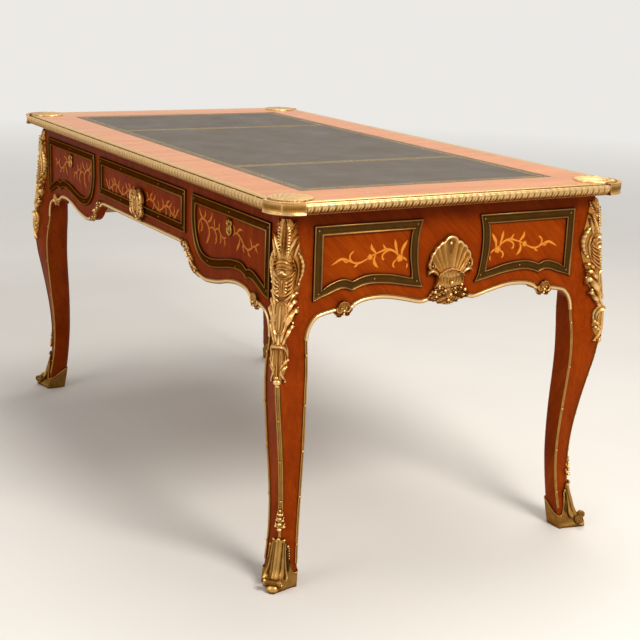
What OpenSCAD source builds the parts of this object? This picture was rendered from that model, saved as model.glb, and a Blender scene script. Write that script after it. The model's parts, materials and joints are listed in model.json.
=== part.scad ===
// Bureau plat: a flat writing desk on four cabriole legs, with three drawers and bronze mounts.
// Millimetres, +Z up, origin on the floor under the middle of the desk, drawers facing -Y.

/* [Frame] */
// Length over the faces of the two end aprons, along X
frame_len = 1444; // [1250:1:1700]
// Depth over the faces of the front and back aprons, along Y
frame_dep = 744; // [620:1:900]
// Height of the writing surface above the floor
desk_h = 780; // [720:1:840]
// Thickness of the aprons and rails
apron_t = 22; // [16:1:30]
// Width of a leg where it meets the aprons
leg_w = 53; // [44:1:64]

/* [Top] */
// Overhang of the rim past the end aprons
over_x = 55; // [40:1:75]
// Overhang of the rim past the front and back aprons
over_y = 47; // [36:1:70]
// Height of the rim, and thickness of the top board
rim_h = 27; // [22:1:34]
// Width of the whole rim, outside the board
rim_w = 27; // [24:1:34]
// How far the rim and the caps stop short of the board's underside
rim_low = 3.5; // [0:0.5:6]
// Width of the flat gilt fillet on top of the rim
rim_flat_w = 18; // [12:1:20]
// Width of the groove beside the fillet
rim_groove_w = 1.3; // [0.8:0.1:2]
// Depth of the groove beside the fillet
rim_groove_d = 1.5; // [0.8:0.1:3]
// Width of the veneered band between the rim and the leather at the ends
band_x = 100; // [70:1:140]
// Width of the veneered band between the rim and the leather at the front and back
band_y = 88; // [60:1:120]
// Thickness of the leather
leather_t = 1.4; // [1:0.1:2.5]
// How far the leather lies below the board's surface
leather_sink = 0.2; // [0.1:0.1:0.6]
// Length of the middle leather panel
panel_len = 641; // [400:1:800]
// Joint between two leather panels, and round them
panel_gap = 0.5; // [0.3:0.1:1.5]

/* [Corner caps] */
// How far a cap reaches along each side of the top
cap_reach = 60; // [55:1:90]
// How far a cap's plate laps over the board, seen along a side
cap_lap = 98; // [92:1:125]
// Thickness of the plate on top
cap_plate_t = 3; // [2:0.5:5]
// Height of the lip at the bottom and the top of the cap's side
cap_lip_h = 4; // [3:0.5:6]
// How far the cap's side is hollowed between its lips
cap_hollow = 1.8; // [1:0.1:4]
// Cut across the board's corner, inside the cap
board_cut = 16; // [8:1:24]

/* [Drawers] */
// Width of the middle drawer's front
mid_w = 532; // [420:1:640]
// Width of the stile between two drawers
stile_w = 38; // [30:1:60]
// Drop of the drawers' top edge below the frame's top
drawer_drop = 28; // [20:1:40]
// Running gap round a drawer's front
drawer_gap = 1.2; // [0.8:0.1:2.5]
// Thickness of a drawer's front
front_t = 18; // [16:1:20]
// Length of a drawer's box behind its front
box_len = 600; // [450:1:640]
// Thickness of the box's sides and back
box_t = 10; // [7:0.5:14]
// Thickness of the box's bottom panel
box_bottom_t = 5; // [3:0.5:7]
// Depth of the groove that holds the bottom panel
box_groove = 4; // [2:0.5:5]
// Height of the groove above the box's lower edge
box_groove_z = 4; // [3:0.5:8]
// Drop of the box's top edge below the drawer front's
box_drop = 17; // [10:1:30]
// Rise of a box's lower edge above the rail that it passes over
box_rise = 5; // [3:0.5:9]
// Side play between a box and its guides
box_play = 1.5; // [0.8:0.1:3]
// Distance of a side drawer's box from the inner edge of its front
box_in = 25; // [22:1:40]
// Distance of a side drawer's box from the outer edge of its front
box_out = 8; // [6:1:20]

/* [Kneehole and arches] */
// Drop of the bead over the kneehole below the frame's top
knee_drop = 142.5; // [125:0.5:160]
// Height of the rail under the middle drawer's front, down to the bead's middle
rail_h = 21.5; // [18:0.5:28]
// Drop of the bead at the top of an end's arches
end_drop = 176.5; // [165:0.5:190]
// How far the rails under the side drawers hang below the kneehole
scroll_fall = 56; // [50:1:62]
// Half the run of the scroll at the kneehole's corner
scroll_run = 30; // [26:1:34]
// Rise of the arch between a side rail's lowest point and the leg
arch_rise = 24; // [18:1:28]
// Rise of the arch on each side of an end's shell
end_rise = 18; // [12:1:22]
// Bend by which a front bead runs into the leg
leg_bend = 19; // [16:1:24]
// The same for an end's bead
end_bend = 25; // [20:1:30]
// Drop at which the aprons' curves have run into the legs
leg_drop = 248; // [240:1:270]
// Half width of the bay for the shell between an end's two frames
bay_w = 69; // [62:1:85]
// Thickness of the partitions between the drawers
partition_t = 18; // [12:1:24]
// Drop of the partitions' lower edge
partition_drop = 173; // [165:1:178]

/* [Runners] */
// Thickness of a drawer runner
runner_t = 12; // [8:1:16]
// Width of a runner under a drawer's side
runner_w = 14; // [10:1:20]
// Height of a guide above its runner
guide_h = 26; // [15:1:40]
// Width of the guide beside the middle drawer
guide_w = 22; // [14:1:30]
// Gap between a runner and the drawer above it
runner_gap = 0.4; // [0.2:0.1:1]

/* [Legs] */
// Cut across a leg's outer corner, under its gilt fillet
arris_cut = 8; // [6:0.5:11]
// Cut across a leg's inner corner
inner_cut = 10; // [6:1:14]
// Height of a leg's wood above the floor, inside its shoe
leg_foot_z = 8; // [6:0.5:14]
// How far a leg's outer corner swells past the aprons' corner at the knee
knee_swell = 22.5; // [16:0.5:28]
// Width of the flat margin down each outer face, beside its inner edge
leg_margin = 9; // [8:0.5:12]

/* [Bronze mounts] */
// Half width of the bead along the aprons
bead_w = 4.5; // [3.5:0.1:6]
// Height of the bead
bead_h = 4.5; // [3:0.1:6]
// How far the bead hangs past the wood's edge
bead_lap = 0.5; // [0:0.1:1.5]
// Half width of the thin fillet along a leg's inner corners
line_w = 3; // [2:0.1:4]
// Height of that fillet
line_h = 2.5; // [1.5:0.1:3.5]
// Distance of that fillet's middle from the leg's edge
line_in = 3.2; // [3:0.1:5]
// Half width of the fillet down a leg's outer corner
arris_w = 6; // [4.5:0.1:7]
// Height of the fillet down a leg's outer corner
arris_h = 3; // [2:0.1:5]
// Width of a drawer's or an apron's bronze frame
frame_w = 19; // [14:1:24]
// Thickness of a frame's flat part
frame_t = 3; // [2:0.5:5]
// Height of a frame's raised edges above its flat part
frame_edge_h = 2; // [1:0.5:3]
// Width of a frame's raised edges
frame_edge_w = 3; // [2:0.5:5]
// Thickness of a shoe's wall
shoe_t = 3.4; // [2.5:0.1:5]
// Height of a shoe at the leg's outer corner
shoe_h = 98; // [85:1:115]
// Thickness of a leg mount at the leg's corner, where it is thickest
chute_t = 15; // [10:0.5:18]
// Height of a leg mount's lower tip above the floor
chute_low = 430; // [400:1:450]
// Height of the upper end of the husks above the floor
husk_top = 150; // [140:1:180]
// Thickness of a shell over the apron
shell_t = 14; // [9:1:20]
// Thickness of the plate behind a shell's flutes
shell_back_t = 4; // [3:0.5:6]
// Half width of a shell at its widest
shell_w = 52; // [44:1:56]
// Half width of the mount on the middle drawer
crest_w = 34; // [26:1:42]
// Height of the mount on the middle drawer
crest_h = 70; // [55:1:78]
// Thickness of the mount on the middle drawer
crest_t = 11; // [8:0.5:14]
// Thickness of the plate behind a clasp or the middle drawer's mount
mount_back_t = 3; // [2:0.5:4]
// Length of a clasp on the bead
clasp_len = 34; // [26:1:38]
// Height of a clasp
clasp_h = 30; // [24:1:36]
// Thickness of a clasp
clasp_t = 8; // [6:0.5:11]
// Half width of a kneehole scroll at its widest
scroll_w = 12; // [8:1:16]
// Seating gap under a mount on a curved face
seat_gap = 0.25; // [0.15:0.05:0.5]
// Room behind the castings that wrap a leg: the shoes and the knee mounts
cast_gap = 0.95; // [0.8:0.05:1.5]

/* [Locks] */
// Width of a keyhole plate
plate_w = 22; // [16:1:30]
// Height of a keyhole plate
plate_h = 34; // [26:1:42]
// Thickness of a keyhole plate
plate_t = 3.5; // [2:0.5:5]
// Drop of the keyhole below the drawer front's top edge
key_drop = 42; // [36:1:50]
// Radius of the keyhole's round part
key_r = 2.6; // [2:0.1:3.5]
// Width of the keyhole's slot
key_slot_w = 2.4; // [1.8:0.1:3]
// Depth of the keyhole's slot below its round part
key_slot_h = 8; // [5:0.5:10]
// Width of a lock's case
lock_w = 50; // [40:1:70]
// Height of a lock's case
lock_h = 52; // [48:1:58]
// Thickness of a lock's case
lock_t = 12; // [11:0.5:14]
// How deep a lock's case is let into the drawer front
lock_sink = 8; // [6:0.5:9]
// Width of a lock's bolt
bolt_w = 16; // [10:1:24]
// Thickness of a lock's bolt
bolt_t = 5; // [3.5:0.5:6]
// Length of a lock's bolt
bolt_len = 20; // [16:1:24]
// Throw of a lock's bolt
bolt_throw = 8; // [5:0.5:9]
// Clearance round a bolt in its case
bolt_gap = 0.3; // [0.2:0.05:0.6]
// Clearance round a bolt in its mortise
mortise_gap = 1; // [0.5:0.1:2]

/* [Hidden] */
// Colours, as the photograph shows them
wood_c = [0.60, 0.27, 0.08];
inner_c = [0.66, 0.50, 0.32];
gilt_c = [0.80, 0.62, 0.25];
frame_c = [0.42, 0.33, 0.16];
leather_c = [0.10, 0.09, 0.08];
steel_c = [0.62, 0.60, 0.56];

// Levels and planes that several pieces share
fx = frame_len / 2;
fy = frame_dep / 2;
frame_top = desk_h - rim_h;
rim_d = rim_h - rim_low;
rim_x = fx + over_x;
rim_y = fy + over_y;
board_x = rim_x - rim_w;
board_y = rim_y - rim_w;
leg_x = fx - leg_w;
leg_y = fy - leg_w;
leg_z = frame_top - leg_drop;
wood_under_bead = bead_w - bead_lap;
drawer_top = frame_top - drawer_drop;
mid_x = mid_w / 2;
side_x0 = mid_x + stile_w;
side_x1 = leg_x - drawer_gap;
side_len = side_x1 - side_x0;
side_mid = (side_x0 + side_x1) / 2;
mid_low = frame_top - knee_drop + rail_h;
front_back_y = front_t - fy;
tiny = 0.01;

// Curves and lofts

// A smooth curve through the points p, with n steps to each span
function curve(p, n) = [
    for (i = [0:len(p) - 2])
        let (a = i > 0 ? p[i - 1] : 2 * p[0] - p[1])
        let (b = p[i])
        let (c = p[i + 1])
        let (d = i < len(p) - 2 ? p[i + 2] : 2 * p[i + 1] - p[i])
        for (k = [0:n - 1])
            let (u = k / n)
            b + (c - a) * u / 2 + (2 * a - 5 * b + 4 * c - d) * u * u / 2
                + (3 * b - a - 3 * c + d) * u * u * u / 2,
    p[len(p) - 1]
];

// The rows of table t hold a position and values; smooth(t, x) gives the values at position x
function span(t, x, i = 0) = (i >= len(t) - 2 || x < t[i + 1][0]) ? i : span(t, x, i + 1);
function slope(t, i) =
    let (a = t[max(i - 1, 0)])
    let (b = t[min(i + 1, len(t) - 1)])
    (b - a) / (b[0] - a[0]);
function smooth(t, x) =
    let (i = span(t, x))
    let (h = t[i + 1][0] - t[i][0])
    let (u = (x - t[i][0]) / h)
    (2 * u * u * u - 3 * u * u + 1) * t[i] + (u * u * u - 2 * u * u + u) * h * slope(t, i)
        + (3 * u * u - 2 * u * u * u) * t[i + 1] + (u * u * u - u * u) * h * slope(t, i + 1);

function unit(v) = v / norm(v);
function left_of(v) = [-v[1], v[0]];

// An open path in a plane, moved d to its left
function beside(p, d) = [
    for (i = [0:len(p) - 1])
        p[i] + d * left_of(unit(p[min(i + 1, len(p) - 1)] - p[max(i - 1, 0)]))
];

function reversed(p) = [for (i = [len(p) - 1:-1:0]) p[i]];
function mirrored(p) = [for (q = reversed(p)) [-q[0], q[1]]];
function part_of(p, i, j) = [for (k = [i:j]) p[k]];

// A solid through closed rings of points, each ring counterclockwise seen from the next one
module loft(rings) {
    m = len(rings[0]);
    n = len(rings);
    sides = [
        for (i = [0:n - 2], j = [0:m - 1])
            let (a = i * m + j)
            let (b = i * m + (j + 1) % m)
            each [[a, a + m, b], [b, a + m, b + m]]
    ];
    first = [for (j = [0:m - 1]) j];
    last = [for (j = [m - 1:-1:0]) (n - 1) * m + j];
    polyhedron(points = [for (r = rings) each r], faces = concat(sides, [first, last]));
}

// A half-round strip along a path of [u, v], on the plane w = 0, with half widths w and height h
module strip(path, w, h) {
    n = len(path) - 1;
    section = [[1, 0], [0.78, 0.66], [0, 1], [-0.78, 0.66], [-1, 0]];
    loft([
        for (i = [0:n])
            let (across = left_of(unit(path[min(i + 1, n)] - path[max(i - 1, 0)])))
            [for (s = section) [
                path[i][0] + across[0] * s[0] * w[i],
                path[i][1] + across[1] * s[0] * w[i],
                s[1] * h[i]
            ]]
    ]);
}

// A plate of thickness t from an outline in X and Z, whose face lies at y and looks along -Y
module facing_front(y, t) {
    translate([0, y + t, 0]) rotate([90, 0, 0]) linear_extrude(t) children();
}

// A solid modelled over the plane w = 0, set on a face at y that looks along -Y
module on_front(y) {
    translate([0, y, 0]) rotate([90, 0, 0]) children();
}

// The same for a face at x that looks along +X, with the outline in Y and Z
module facing_end(x, t) {
    translate([x - t, 0, 0]) rotate([90, 0, 90]) linear_extrude(t) children();
}

module on_end(x) {
    translate([x, 0, 0]) rotate([90, 0, 90]) children();
}

// The front's form turned round to the back
module to_back() {
    rotate([0, 0, 180]) children();
}

// A piece modelled at the corner +X, +Y, set at the corner of the signs sx and sy
module at_corner(sx, sy) {
    mirror([sx < 0 ? 1 : 0, 0, 0]) mirror([0, sy < 0 ? 1 : 0, 0]) children();
}

// The line of the bead along the front, as [x, z] from the middle to the leg

function below(x, drop) = [x, frame_top - drop];
scroll_x0 = mid_x - scroll_run;
scroll_x1 = side_x0 + 1.4 * scroll_run;
scroll_drop = knee_drop + scroll_fall;
arch = leg_x - scroll_x1;
clasp_x = scroll_x1 + 0.81 * arch;
front_steps = 3;
front_points = [
    below(0, knee_drop),
    below(scroll_x0 / 2, knee_drop),
    below(scroll_x0, knee_drop),
    below(mid_x - 0.40 * scroll_run, knee_drop + 0.03 * scroll_fall),
    below(mid_x + 0.20 * scroll_run, knee_drop + 0.16 * scroll_fall),
    below(side_x0 - 0.47 * scroll_run, knee_drop + 0.41 * scroll_fall),
    below(side_x0 + 0.03 * scroll_run, knee_drop + 0.68 * scroll_fall),
    below(side_x0 + 0.60 * scroll_run, knee_drop + 0.88 * scroll_fall),
    below(scroll_x1, scroll_drop),
    below(scroll_x1 + 0.10 * arch, scroll_drop + 0.08 * arch_rise),
    below(scroll_x1 + 0.27 * arch, scroll_drop - 0.25 * arch_rise),
    below(scroll_x1 + 0.42 * arch, scroll_drop - 0.75 * arch_rise),
    below(scroll_x1 + 0.56 * arch, scroll_drop - arch_rise),
    below(scroll_x1 + 0.68 * arch, scroll_drop - 0.88 * arch_rise),
    below(clasp_x - clasp_len / 2, scroll_drop - 0.42 * arch_rise),
    below(clasp_x + clasp_len / 2, scroll_drop - 0.19 * arch_rise),
    below(leg_x - leg_bend, scroll_drop + 0.16 * leg_bend),
    below(leg_x - 0.42 * leg_bend, scroll_drop + 0.61 * leg_bend),
    below(leg_x - 0.13 * leg_bend, scroll_drop + 1.11 * leg_bend),
    below(leg_x + 0.08 * leg_bend, scroll_drop + 1.79 * leg_bend),
    [leg_x + line_in, leg_z]
];
front_path = curve(front_points, front_steps);
knee_end = 2 * front_steps;
scroll_end = 8 * front_steps;
clasp_start = 14 * front_steps;
clasp_end = 15 * front_steps;
front_wood_end = 18 * front_steps;
front_end = 20 * front_steps;

// The line of the bead along an end, as [y, z] from the shell to the leg
shell_foot = 48;
bay = leg_y - shell_foot;
end_clasp_y = shell_foot + 0.72 * bay;
end_steps = 3;
end_points = [
    below(shell_foot, end_drop + 0.89 * end_rise),
    below(shell_foot + 0.07 * bay, end_drop + end_rise),
    below(shell_foot + 0.21 * bay, end_drop + 0.50 * end_rise),
    below(shell_foot + 0.34 * bay, end_drop + 0.11 * end_rise),
    below(shell_foot + 0.44 * bay, end_drop),
    below(shell_foot + 0.55 * bay, end_drop + 0.14 * end_rise),
    below(shell_foot + 0.62 * bay, end_drop + 0.50 * end_rise),
    below(end_clasp_y - clasp_len / 2, end_drop + 0.86 * end_rise),
    below(end_clasp_y + clasp_len / 2, end_drop + end_rise),
    below(leg_y - end_bend, end_drop + end_rise + 0.26 * end_bend),
    below(leg_y - 0.52 * end_bend, end_drop + end_rise + 0.58 * end_bend),
    below(leg_y - 0.20 * end_bend, end_drop + end_rise + end_bend),
    below(leg_y + 0.02 * end_bend, end_drop + end_rise + 1.52 * end_bend),
    [leg_y + line_in, leg_z]
];
end_path = curve(end_points, end_steps);
end_clasp_start = 7 * end_steps;
end_clasp_end = 8 * end_steps;
end_wood_end = 11 * end_steps;
end_end = 13 * end_steps;

// Outlines of the drawer fronts and of the bronze frames on them, counterclockwise in [x, z]

side_h = knee_drop + 25.5 - drawer_drop;
frame_steps = 3;

// The points q of rows of [position, drop, inward direction], drawn in by e
function drawn_in(rows, e) = [for (q = rows) below(q[0] + e * q[2], q[1] - e * q[3])];

// A side drawer's top edge and outer side are straight; the rest are two curves
side_inner = [
    [side_x0, drawer_drop, 1, -1],
    [side_x0 - 3, drawer_drop + 0.25 * side_h, 1, 0],
    [side_x0 + 1, drawer_drop + 0.52 * side_h, 1, 0.1],
    [side_x0 + 18, drawer_drop + 0.79 * side_h, 0.85, 0.5],
    [side_x0 + 48, drawer_drop + 0.95 * side_h, 0.45, 0.85],
    [side_x0 + 0.25 * side_len, knee_drop + 25.5, 0, 1],
    [side_x0 + 0.374 * side_len, knee_drop + 19.5, 0, 1],
    [side_x0 + 0.511 * side_len, knee_drop + 9, 0, 1],
    [side_x0 + 0.635 * side_len, knee_drop + 4.5, 0, 1],
    [side_x0 + 0.693 * side_len, knee_drop + 8, 0, 1],
    [side_x0 + 0.726 * side_len, knee_drop + 14, 0, 1]
];
side_outer = [
    [side_x0 + 0.726 * side_len, knee_drop + 14, 0, 1],
    [side_x0 + 0.764 * side_len, knee_drop + 10.5, 0, 1],
    [side_x0 + 0.814 * side_len, knee_drop + 12, 0, 1],
    [side_x0 + 0.874 * side_len, knee_drop + 20, 0, 1],
    [side_x0 + 0.937 * side_len, knee_drop + 29.5, 0, 1],
    [side_x1, knee_drop + 33.5, -1, 1.1]
];
side_peak = knee_drop + 4.5;
mid_drop = knee_drop - rail_h;

function without_last(p) = part_of(p, 0, len(p) - 2);
function side_outline(e) = concat(
    without_last(curve(drawn_in(side_inner, e), frame_steps)),
    curve(drawn_in(side_outer, e), frame_steps),
    drawn_in([[side_x1, drawer_drop, -1, -1]], e)
);
function mid_outline(e) = drawn_in([
    [-mid_x, mid_drop, 1, 1], [mid_x, mid_drop, -1, 1],
    [mid_x, drawer_drop, -1, -1], [-mid_x, drawer_drop, 1, -1]
], e);

// The outline of the bronze frame on an end, in [y, z]
end_frame_y1 = leg_y - 8;
end_frame_len = end_frame_y1 - bay_w;
end_inner = [
    [bay_w, drawer_drop, 1, -1],
    [bay_w + 6, drawer_drop + 25, 1, 0],
    [bay_w + 8.5, drawer_drop + 54, 1, 0],
    [bay_w + 7, end_drop - 63, 1, 0.3],
    [bay_w + 1, end_drop - 27, 1.1, 1],
    [bay_w - 7, end_drop - 10.5, 1.5, 1.15]
];
end_lower = [
    [bay_w - 7, end_drop - 10.5, 1.5, 1.15],
    [bay_w + 0.13 * end_frame_len, end_drop - 17.5, 0.4, 1],
    [bay_w + 0.30 * end_frame_len, end_drop - 25, 0, 1],
    [bay_w + 0.46 * end_frame_len, end_drop - 28, 0, 1],
    [bay_w + 0.56 * end_frame_len, end_drop - 25, 0, 1],
    [bay_w + 0.645 * end_frame_len, end_drop - 18, 0, 1]
];
end_outer = [
    [bay_w + 0.645 * end_frame_len, end_drop - 18, 0, 1],
    [bay_w + 0.71 * end_frame_len, end_drop - 23.5, 0, 1],
    [bay_w + 0.78 * end_frame_len, end_drop - 22, 0, 1],
    [bay_w + 0.86 * end_frame_len, end_drop - 15, 0, 1],
    [bay_w + 0.94 * end_frame_len, end_drop - 9.5, -0.45, 0.95],
    [end_frame_y1, end_drop - 3.5, -1, 1.1]
];

function end_outline(e) = concat(
    without_last(curve(drawn_in(end_inner, e), frame_steps)),
    without_last(curve(drawn_in(end_lower, e), frame_steps)),
    curve(drawn_in(end_outer, e), frame_steps),
    drawn_in([[end_frame_y1, drawer_drop, -1, -1]], e)
);

// The aprons' lower edges, in wood
front_edge = part_of(beside(front_path, -wood_under_bead), 0, front_wood_end);
front_half = concat(front_edge, [[leg_x, front_edge[front_wood_end][1]], [leg_x, frame_top]]);
front_outline = concat(
    front_half, part_of(mirrored(front_half), 0, len(front_half) - 2)
);
end_edge = part_of(beside(end_path, -wood_under_bead), 0, end_wood_end);
shell_seat = end_drop + end_rise + 7;
end_half = concat(
    [below(0, shell_seat)], end_edge,
    [[leg_y, end_edge[end_wood_end][1]], [leg_y, frame_top]]
);
end_board = concat(end_half, part_of(mirrored(end_half), 0, len(end_half) - 2));

// Top

rim_section = concat(
    [[0, -rim_d], [0, 0], [rim_flat_w, 0], [rim_flat_w, -rim_groove_d],
     [rim_flat_w + rim_groove_w, -rim_groove_d]],
    curve([
        [rim_flat_w + rim_groove_w, -0.04 * rim_d],
        [rim_w - 3.5, -0.03 * rim_d],
        [rim_w - 0.8, -0.14 * rim_d],
        [rim_w, -0.35 * rim_d],
        [rim_w - 2, -0.60 * rim_d],
        [rim_w - 6.5, -0.82 * rim_d],
        [rim_w - 12, -0.94 * rim_d],
        [rim_w - 14, -rim_d]
    ], 3)
);

module top_board() {
    cut = board_cut;
    corner = [
        [board_x, board_y - cut], [board_x - cut, board_y],
        [cut - board_x, board_y], [-board_x, board_y - cut],
        [-board_x, cut - board_y], [cut - board_x, -board_y],
        [board_x - cut, -board_y], [board_x, cut - board_y]
    ];
    color(wood_c) difference() {
        translate([0, 0, frame_top]) linear_extrude(rim_h) polygon(corner);
        translate([band_x - board_x, band_y - board_y, desk_h - leather_sink - leather_t])
            cube([2 * (board_x - band_x), 2 * (board_y - band_y), rim_h]);
    }
}

module leather_panel(x0, x1) {
    wide = 2 * (board_y - band_y - panel_gap);
    translate([x0, -wide / 2, desk_h - leather_sink - leather_t])
        cube([x1 - x0, wide, leather_t]);
}

module leather_panels() {
    edge = board_x - band_x - panel_gap;
    half = panel_len / 2;
    color(leather_c) {
        leather_panel(-edge, -half - panel_gap / 2);
        leather_panel(panel_gap / 2 - half, half - panel_gap / 2);
        leather_panel(half + panel_gap / 2, edge);
    }
}

// A length of rim whose section starts at the board's edge, at distance d from the middle
module rim_length(d, len) {
    rotate([90, 0, 0]) translate([d, desk_h, -len / 2]) linear_extrude(len) polygon(rim_section);
}

rim_len_x = 2 * (rim_x - cap_reach);
rim_len_y = 2 * (rim_y - cap_reach);

module rim_right() {
    color(gilt_c) rim_length(board_x, rim_len_y);
}

module rim_left() {
    color(gilt_c) rotate([0, 0, 180]) rim_length(board_x, rim_len_y);
}

module rim_back() {
    color(gilt_c) rotate([0, 0, 90]) rim_length(board_y, rim_len_x);
}

module rim_front() {
    color(gilt_c) rotate([0, 0, -90]) rim_length(board_y, rim_len_x);
}

// A cap's outline round the corner, as [u, v] inwards from the corner, drawn in by e
function cap_side(e) = [
    [cap_reach, e], [0.67 * cap_reach, 0.05 * cap_reach + e],
    [0.42 * cap_reach + e / 2, 0.18 * cap_reach + e],
    [0.18 * cap_reach + e, 0.42 * cap_reach + e / 2],
    [0.05 * cap_reach + e, 0.67 * cap_reach], [e, cap_reach]
];

module cap_block(z0, z1, e) {
    seat = rim_w + board_cut;
    translate([0, 0, z0]) linear_extrude(z1 - z0) polygon(concat(
        cap_side(e), [[rim_w, cap_reach], [rim_w, seat], [seat, rim_w], [cap_reach, rim_w]]
    ));
}

module cap_plate() {
    half = [
        [cap_reach, 0], [1.07 * cap_reach, 0.13 * cap_lap], [0.88 * cap_lap, 0.26 * cap_lap],
        [0.98 * cap_lap, 0.42 * cap_lap], [cap_lap, 0.63 * cap_lap],
        [0.91 * cap_lap, 0.81 * cap_lap]
    ];
    other = [for (p = reversed(half)) [p[1], p[0]]];
    translate([0, 0, desk_h]) linear_extrude(cap_plate_t)
        polygon(concat(curve(concat(half, other), 4), reversed(cap_side(0))));
}

module corner_cap() {
    mirror([1, 0, 0]) mirror([0, 1, 0]) translate([-rim_x, -rim_y, 0]) union() {
        cap_block(desk_h - rim_d, desk_h - rim_d + cap_lip_h, 0);
        cap_block(desk_h - rim_d + cap_lip_h, desk_h - cap_lip_h, cap_hollow);
        cap_block(desk_h - cap_lip_h, desk_h, 0);
        cap_plate();
    }
}

module corner_caps() {
    color(gilt_c) for (sx = [-1, 1], sy = [-1, 1]) at_corner(sx, sy) corner_cap();
}

// Aprons, rails and partitions

module front_face() {
    polygon(front_outline);
}

module front_openings() {
    polygon(side_outline(-drawer_gap));
    polygon(mirrored(side_outline(-drawer_gap)));
    polygon(mid_outline(-drawer_gap));
}

// The front's boards are parted at the middle drawer's sides and beyond the kneehole's scrolls
stile_x0 = mid_x + drawer_gap;
stile_x1 = side_x0 + 16;
rail_z = drawer_top + drawer_gap;
low_z = leg_z - 10;

module front_board(x0, x1, z0, z1) {
    facing_front(-fy, apron_t) intersection() {
        difference() {
            front_face();
            front_openings();
        }
        translate([x0, z0]) square([x1 - x0, z1 - z0]);
    }
}

// A lock's mortise in the top rail
module mortise(x) {
    translate([
        x - bolt_w / 2 - mortise_gap, bolt_y - bolt_t / 2 - mortise_gap, rail_z - tiny
    ]) cube([
        bolt_w + 2 * mortise_gap, bolt_t + 2 * mortise_gap, bolt_throw + mortise_gap + tiny
    ]);
}

module front_rail_top() {
    color(wood_c) difference() {
        front_board(-leg_x, leg_x, rail_z, frame_top);
        for (x = [-side_mid, 0, side_mid]) mortise(x);
    }
}

module front_rail_center() {
    color(wood_c) front_board(-stile_x0, stile_x0, low_z, rail_z);
}

module front_rail_right() {
    color(wood_c) front_board(stile_x1, leg_x, low_z, rail_z);
}

module front_rail_left() {
    color(wood_c) mirror([1, 0, 0]) front_board(stile_x1, leg_x, low_z, rail_z);
}

module front_stiles() {
    color(wood_c) {
        front_board(stile_x0, stile_x1, low_z, rail_z);
        mirror([1, 0, 0]) front_board(stile_x0, stile_x1, low_z, rail_z);
    }
}

module apron_back() {
    color(wood_c) to_back() facing_front(-fy, apron_t) front_face();
}

module apron_right() {
    color(wood_c) facing_end(fx, apron_t) polygon(end_board);
}

module apron_left() {
    color(wood_c) mirror([1, 0, 0]) facing_end(fx, apron_t) polygon(end_board);
}

partition_x1 = side_x0;
partition_x0 = side_x0 - partition_t;
inner_y = fy - apron_t;

module partitions() {
    color(inner_c) for (s = [0, 1]) mirror([s, 0, 0])
        translate([partition_x0, -inner_y, frame_top - partition_drop])
            cube([partition_t, 2 * inner_y, partition_drop]);
}

// Drawer boxes stand over the runners; [x0, x1] and [z0, z1] are a box's outer sides
box_z1 = drawer_top - box_drop;
side_box_x0 = side_x0 + box_in;
side_box_x1 = side_x1 - box_out;
side_box_z0 = frame_top - side_peak + box_rise;
mid_box_x = partition_x0 - guide_w - box_play;
mid_box_z0 = mid_low + box_rise;

// A runner with its guide, beside a box's side at x, carried by the wood at x_fixed
module runner(x, x_fixed, z_box, y) {
    s = sign(x_fixed - x);
    z = z_box - runner_gap - runner_t;
    a = x - s * runner_w;
    b = x + s * box_play;
    translate([min(a, x_fixed), -y, z]) cube([abs(x_fixed - a), 2 * y, runner_t]);
    translate([min(b, x_fixed), -y, z]) cube([abs(x_fixed - b), 2 * y, runner_t + guide_h]);
}

module drawer_runners() {
    color(inner_c) for (s = [0, 1]) mirror([s, 0, 0]) {
        union() runner(mid_box_x, partition_x0, mid_box_z0, inner_y);
        union() runner(side_box_x0, partition_x1, side_box_z0, inner_y);
        union() runner(side_box_x1, fx - apron_t, side_box_z0, leg_y);
    }
}

// Drawers

bolt_y = front_back_y - lock_sink + lock_t / 2;
key_z = drawer_top - key_drop;

module keyhole(x, y0, y1) {
    translate([x, y1, key_z]) rotate([90, 0, 0]) cylinder(r = key_r, h = y1 - y0, $fn = 32);
    translate([x - key_slot_w / 2, y0, key_z - key_slot_h])
        cube([key_slot_w, y1 - y0, key_slot_h]);
}

// A drawer's front with the lock's recess and the keyhole at x
module drawer_board(outline, x) {
    difference() {
        facing_front(-fy, front_t) polygon(outline);
        translate([x - lock_w / 2, front_back_y - lock_sink, drawer_top - lock_h])
            cube([lock_w, lock_sink + 1, lock_h + 1]);
        keyhole(x, -fy - 1, front_back_y);
    }
}

module box_side(x, z0) {
    translate([x, front_back_y, z0]) cube([box_t, box_len, box_z1 - z0]);
}

// The box's sides and back, with the groove for the bottom cut in them
module drawer_box(x0, x1, z0) {
    difference() {
        union() {
            box_side(x0, z0);
            box_side(x1 - box_t, z0);
            translate([x0 + box_t - tiny, front_back_y + box_len - box_t, z0])
                cube([x1 - x0 - 2 * box_t + 2 * tiny, box_t, box_z1 - z0]);
        }
        box_panel(x0, x1, z0);
    }
}

module box_panel(x0, x1, z0) {
    in = box_t - box_groove;
    translate([x0 + in, front_back_y, z0 + box_groove_z])
        cube([x1 - x0 - 2 * in, box_len - in, box_bottom_t]);
}

// A bronze frame, flat with two raised edges, from its outline and that drawn in by the edge's
// width, by the whole width less the edge's, and by the whole width
module bronze_frame(outlines) {
    thick = frame_t + frame_edge_h;
    difference() {
        facing_front(-fy - thick, thick) difference() {
            polygon(outlines[0]);
            polygon(outlines[3]);
        }
        facing_front(-fy - thick - 1, frame_edge_h + 1) difference() {
            polygon(outlines[1]);
            polygon(outlines[2]);
        }
    }
}

frame_bands = [0, frame_edge_w, frame_w - frame_edge_w, frame_w];
side_bands = [for (e = frame_bands) side_outline(e)];
mid_bands = [for (e = frame_bands) mid_outline(e)];
end_bands = [for (e = frame_bands) end_outline(e)];
function mirrored_all(bands) = [for (p = bands) mirrored(p)];

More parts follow.
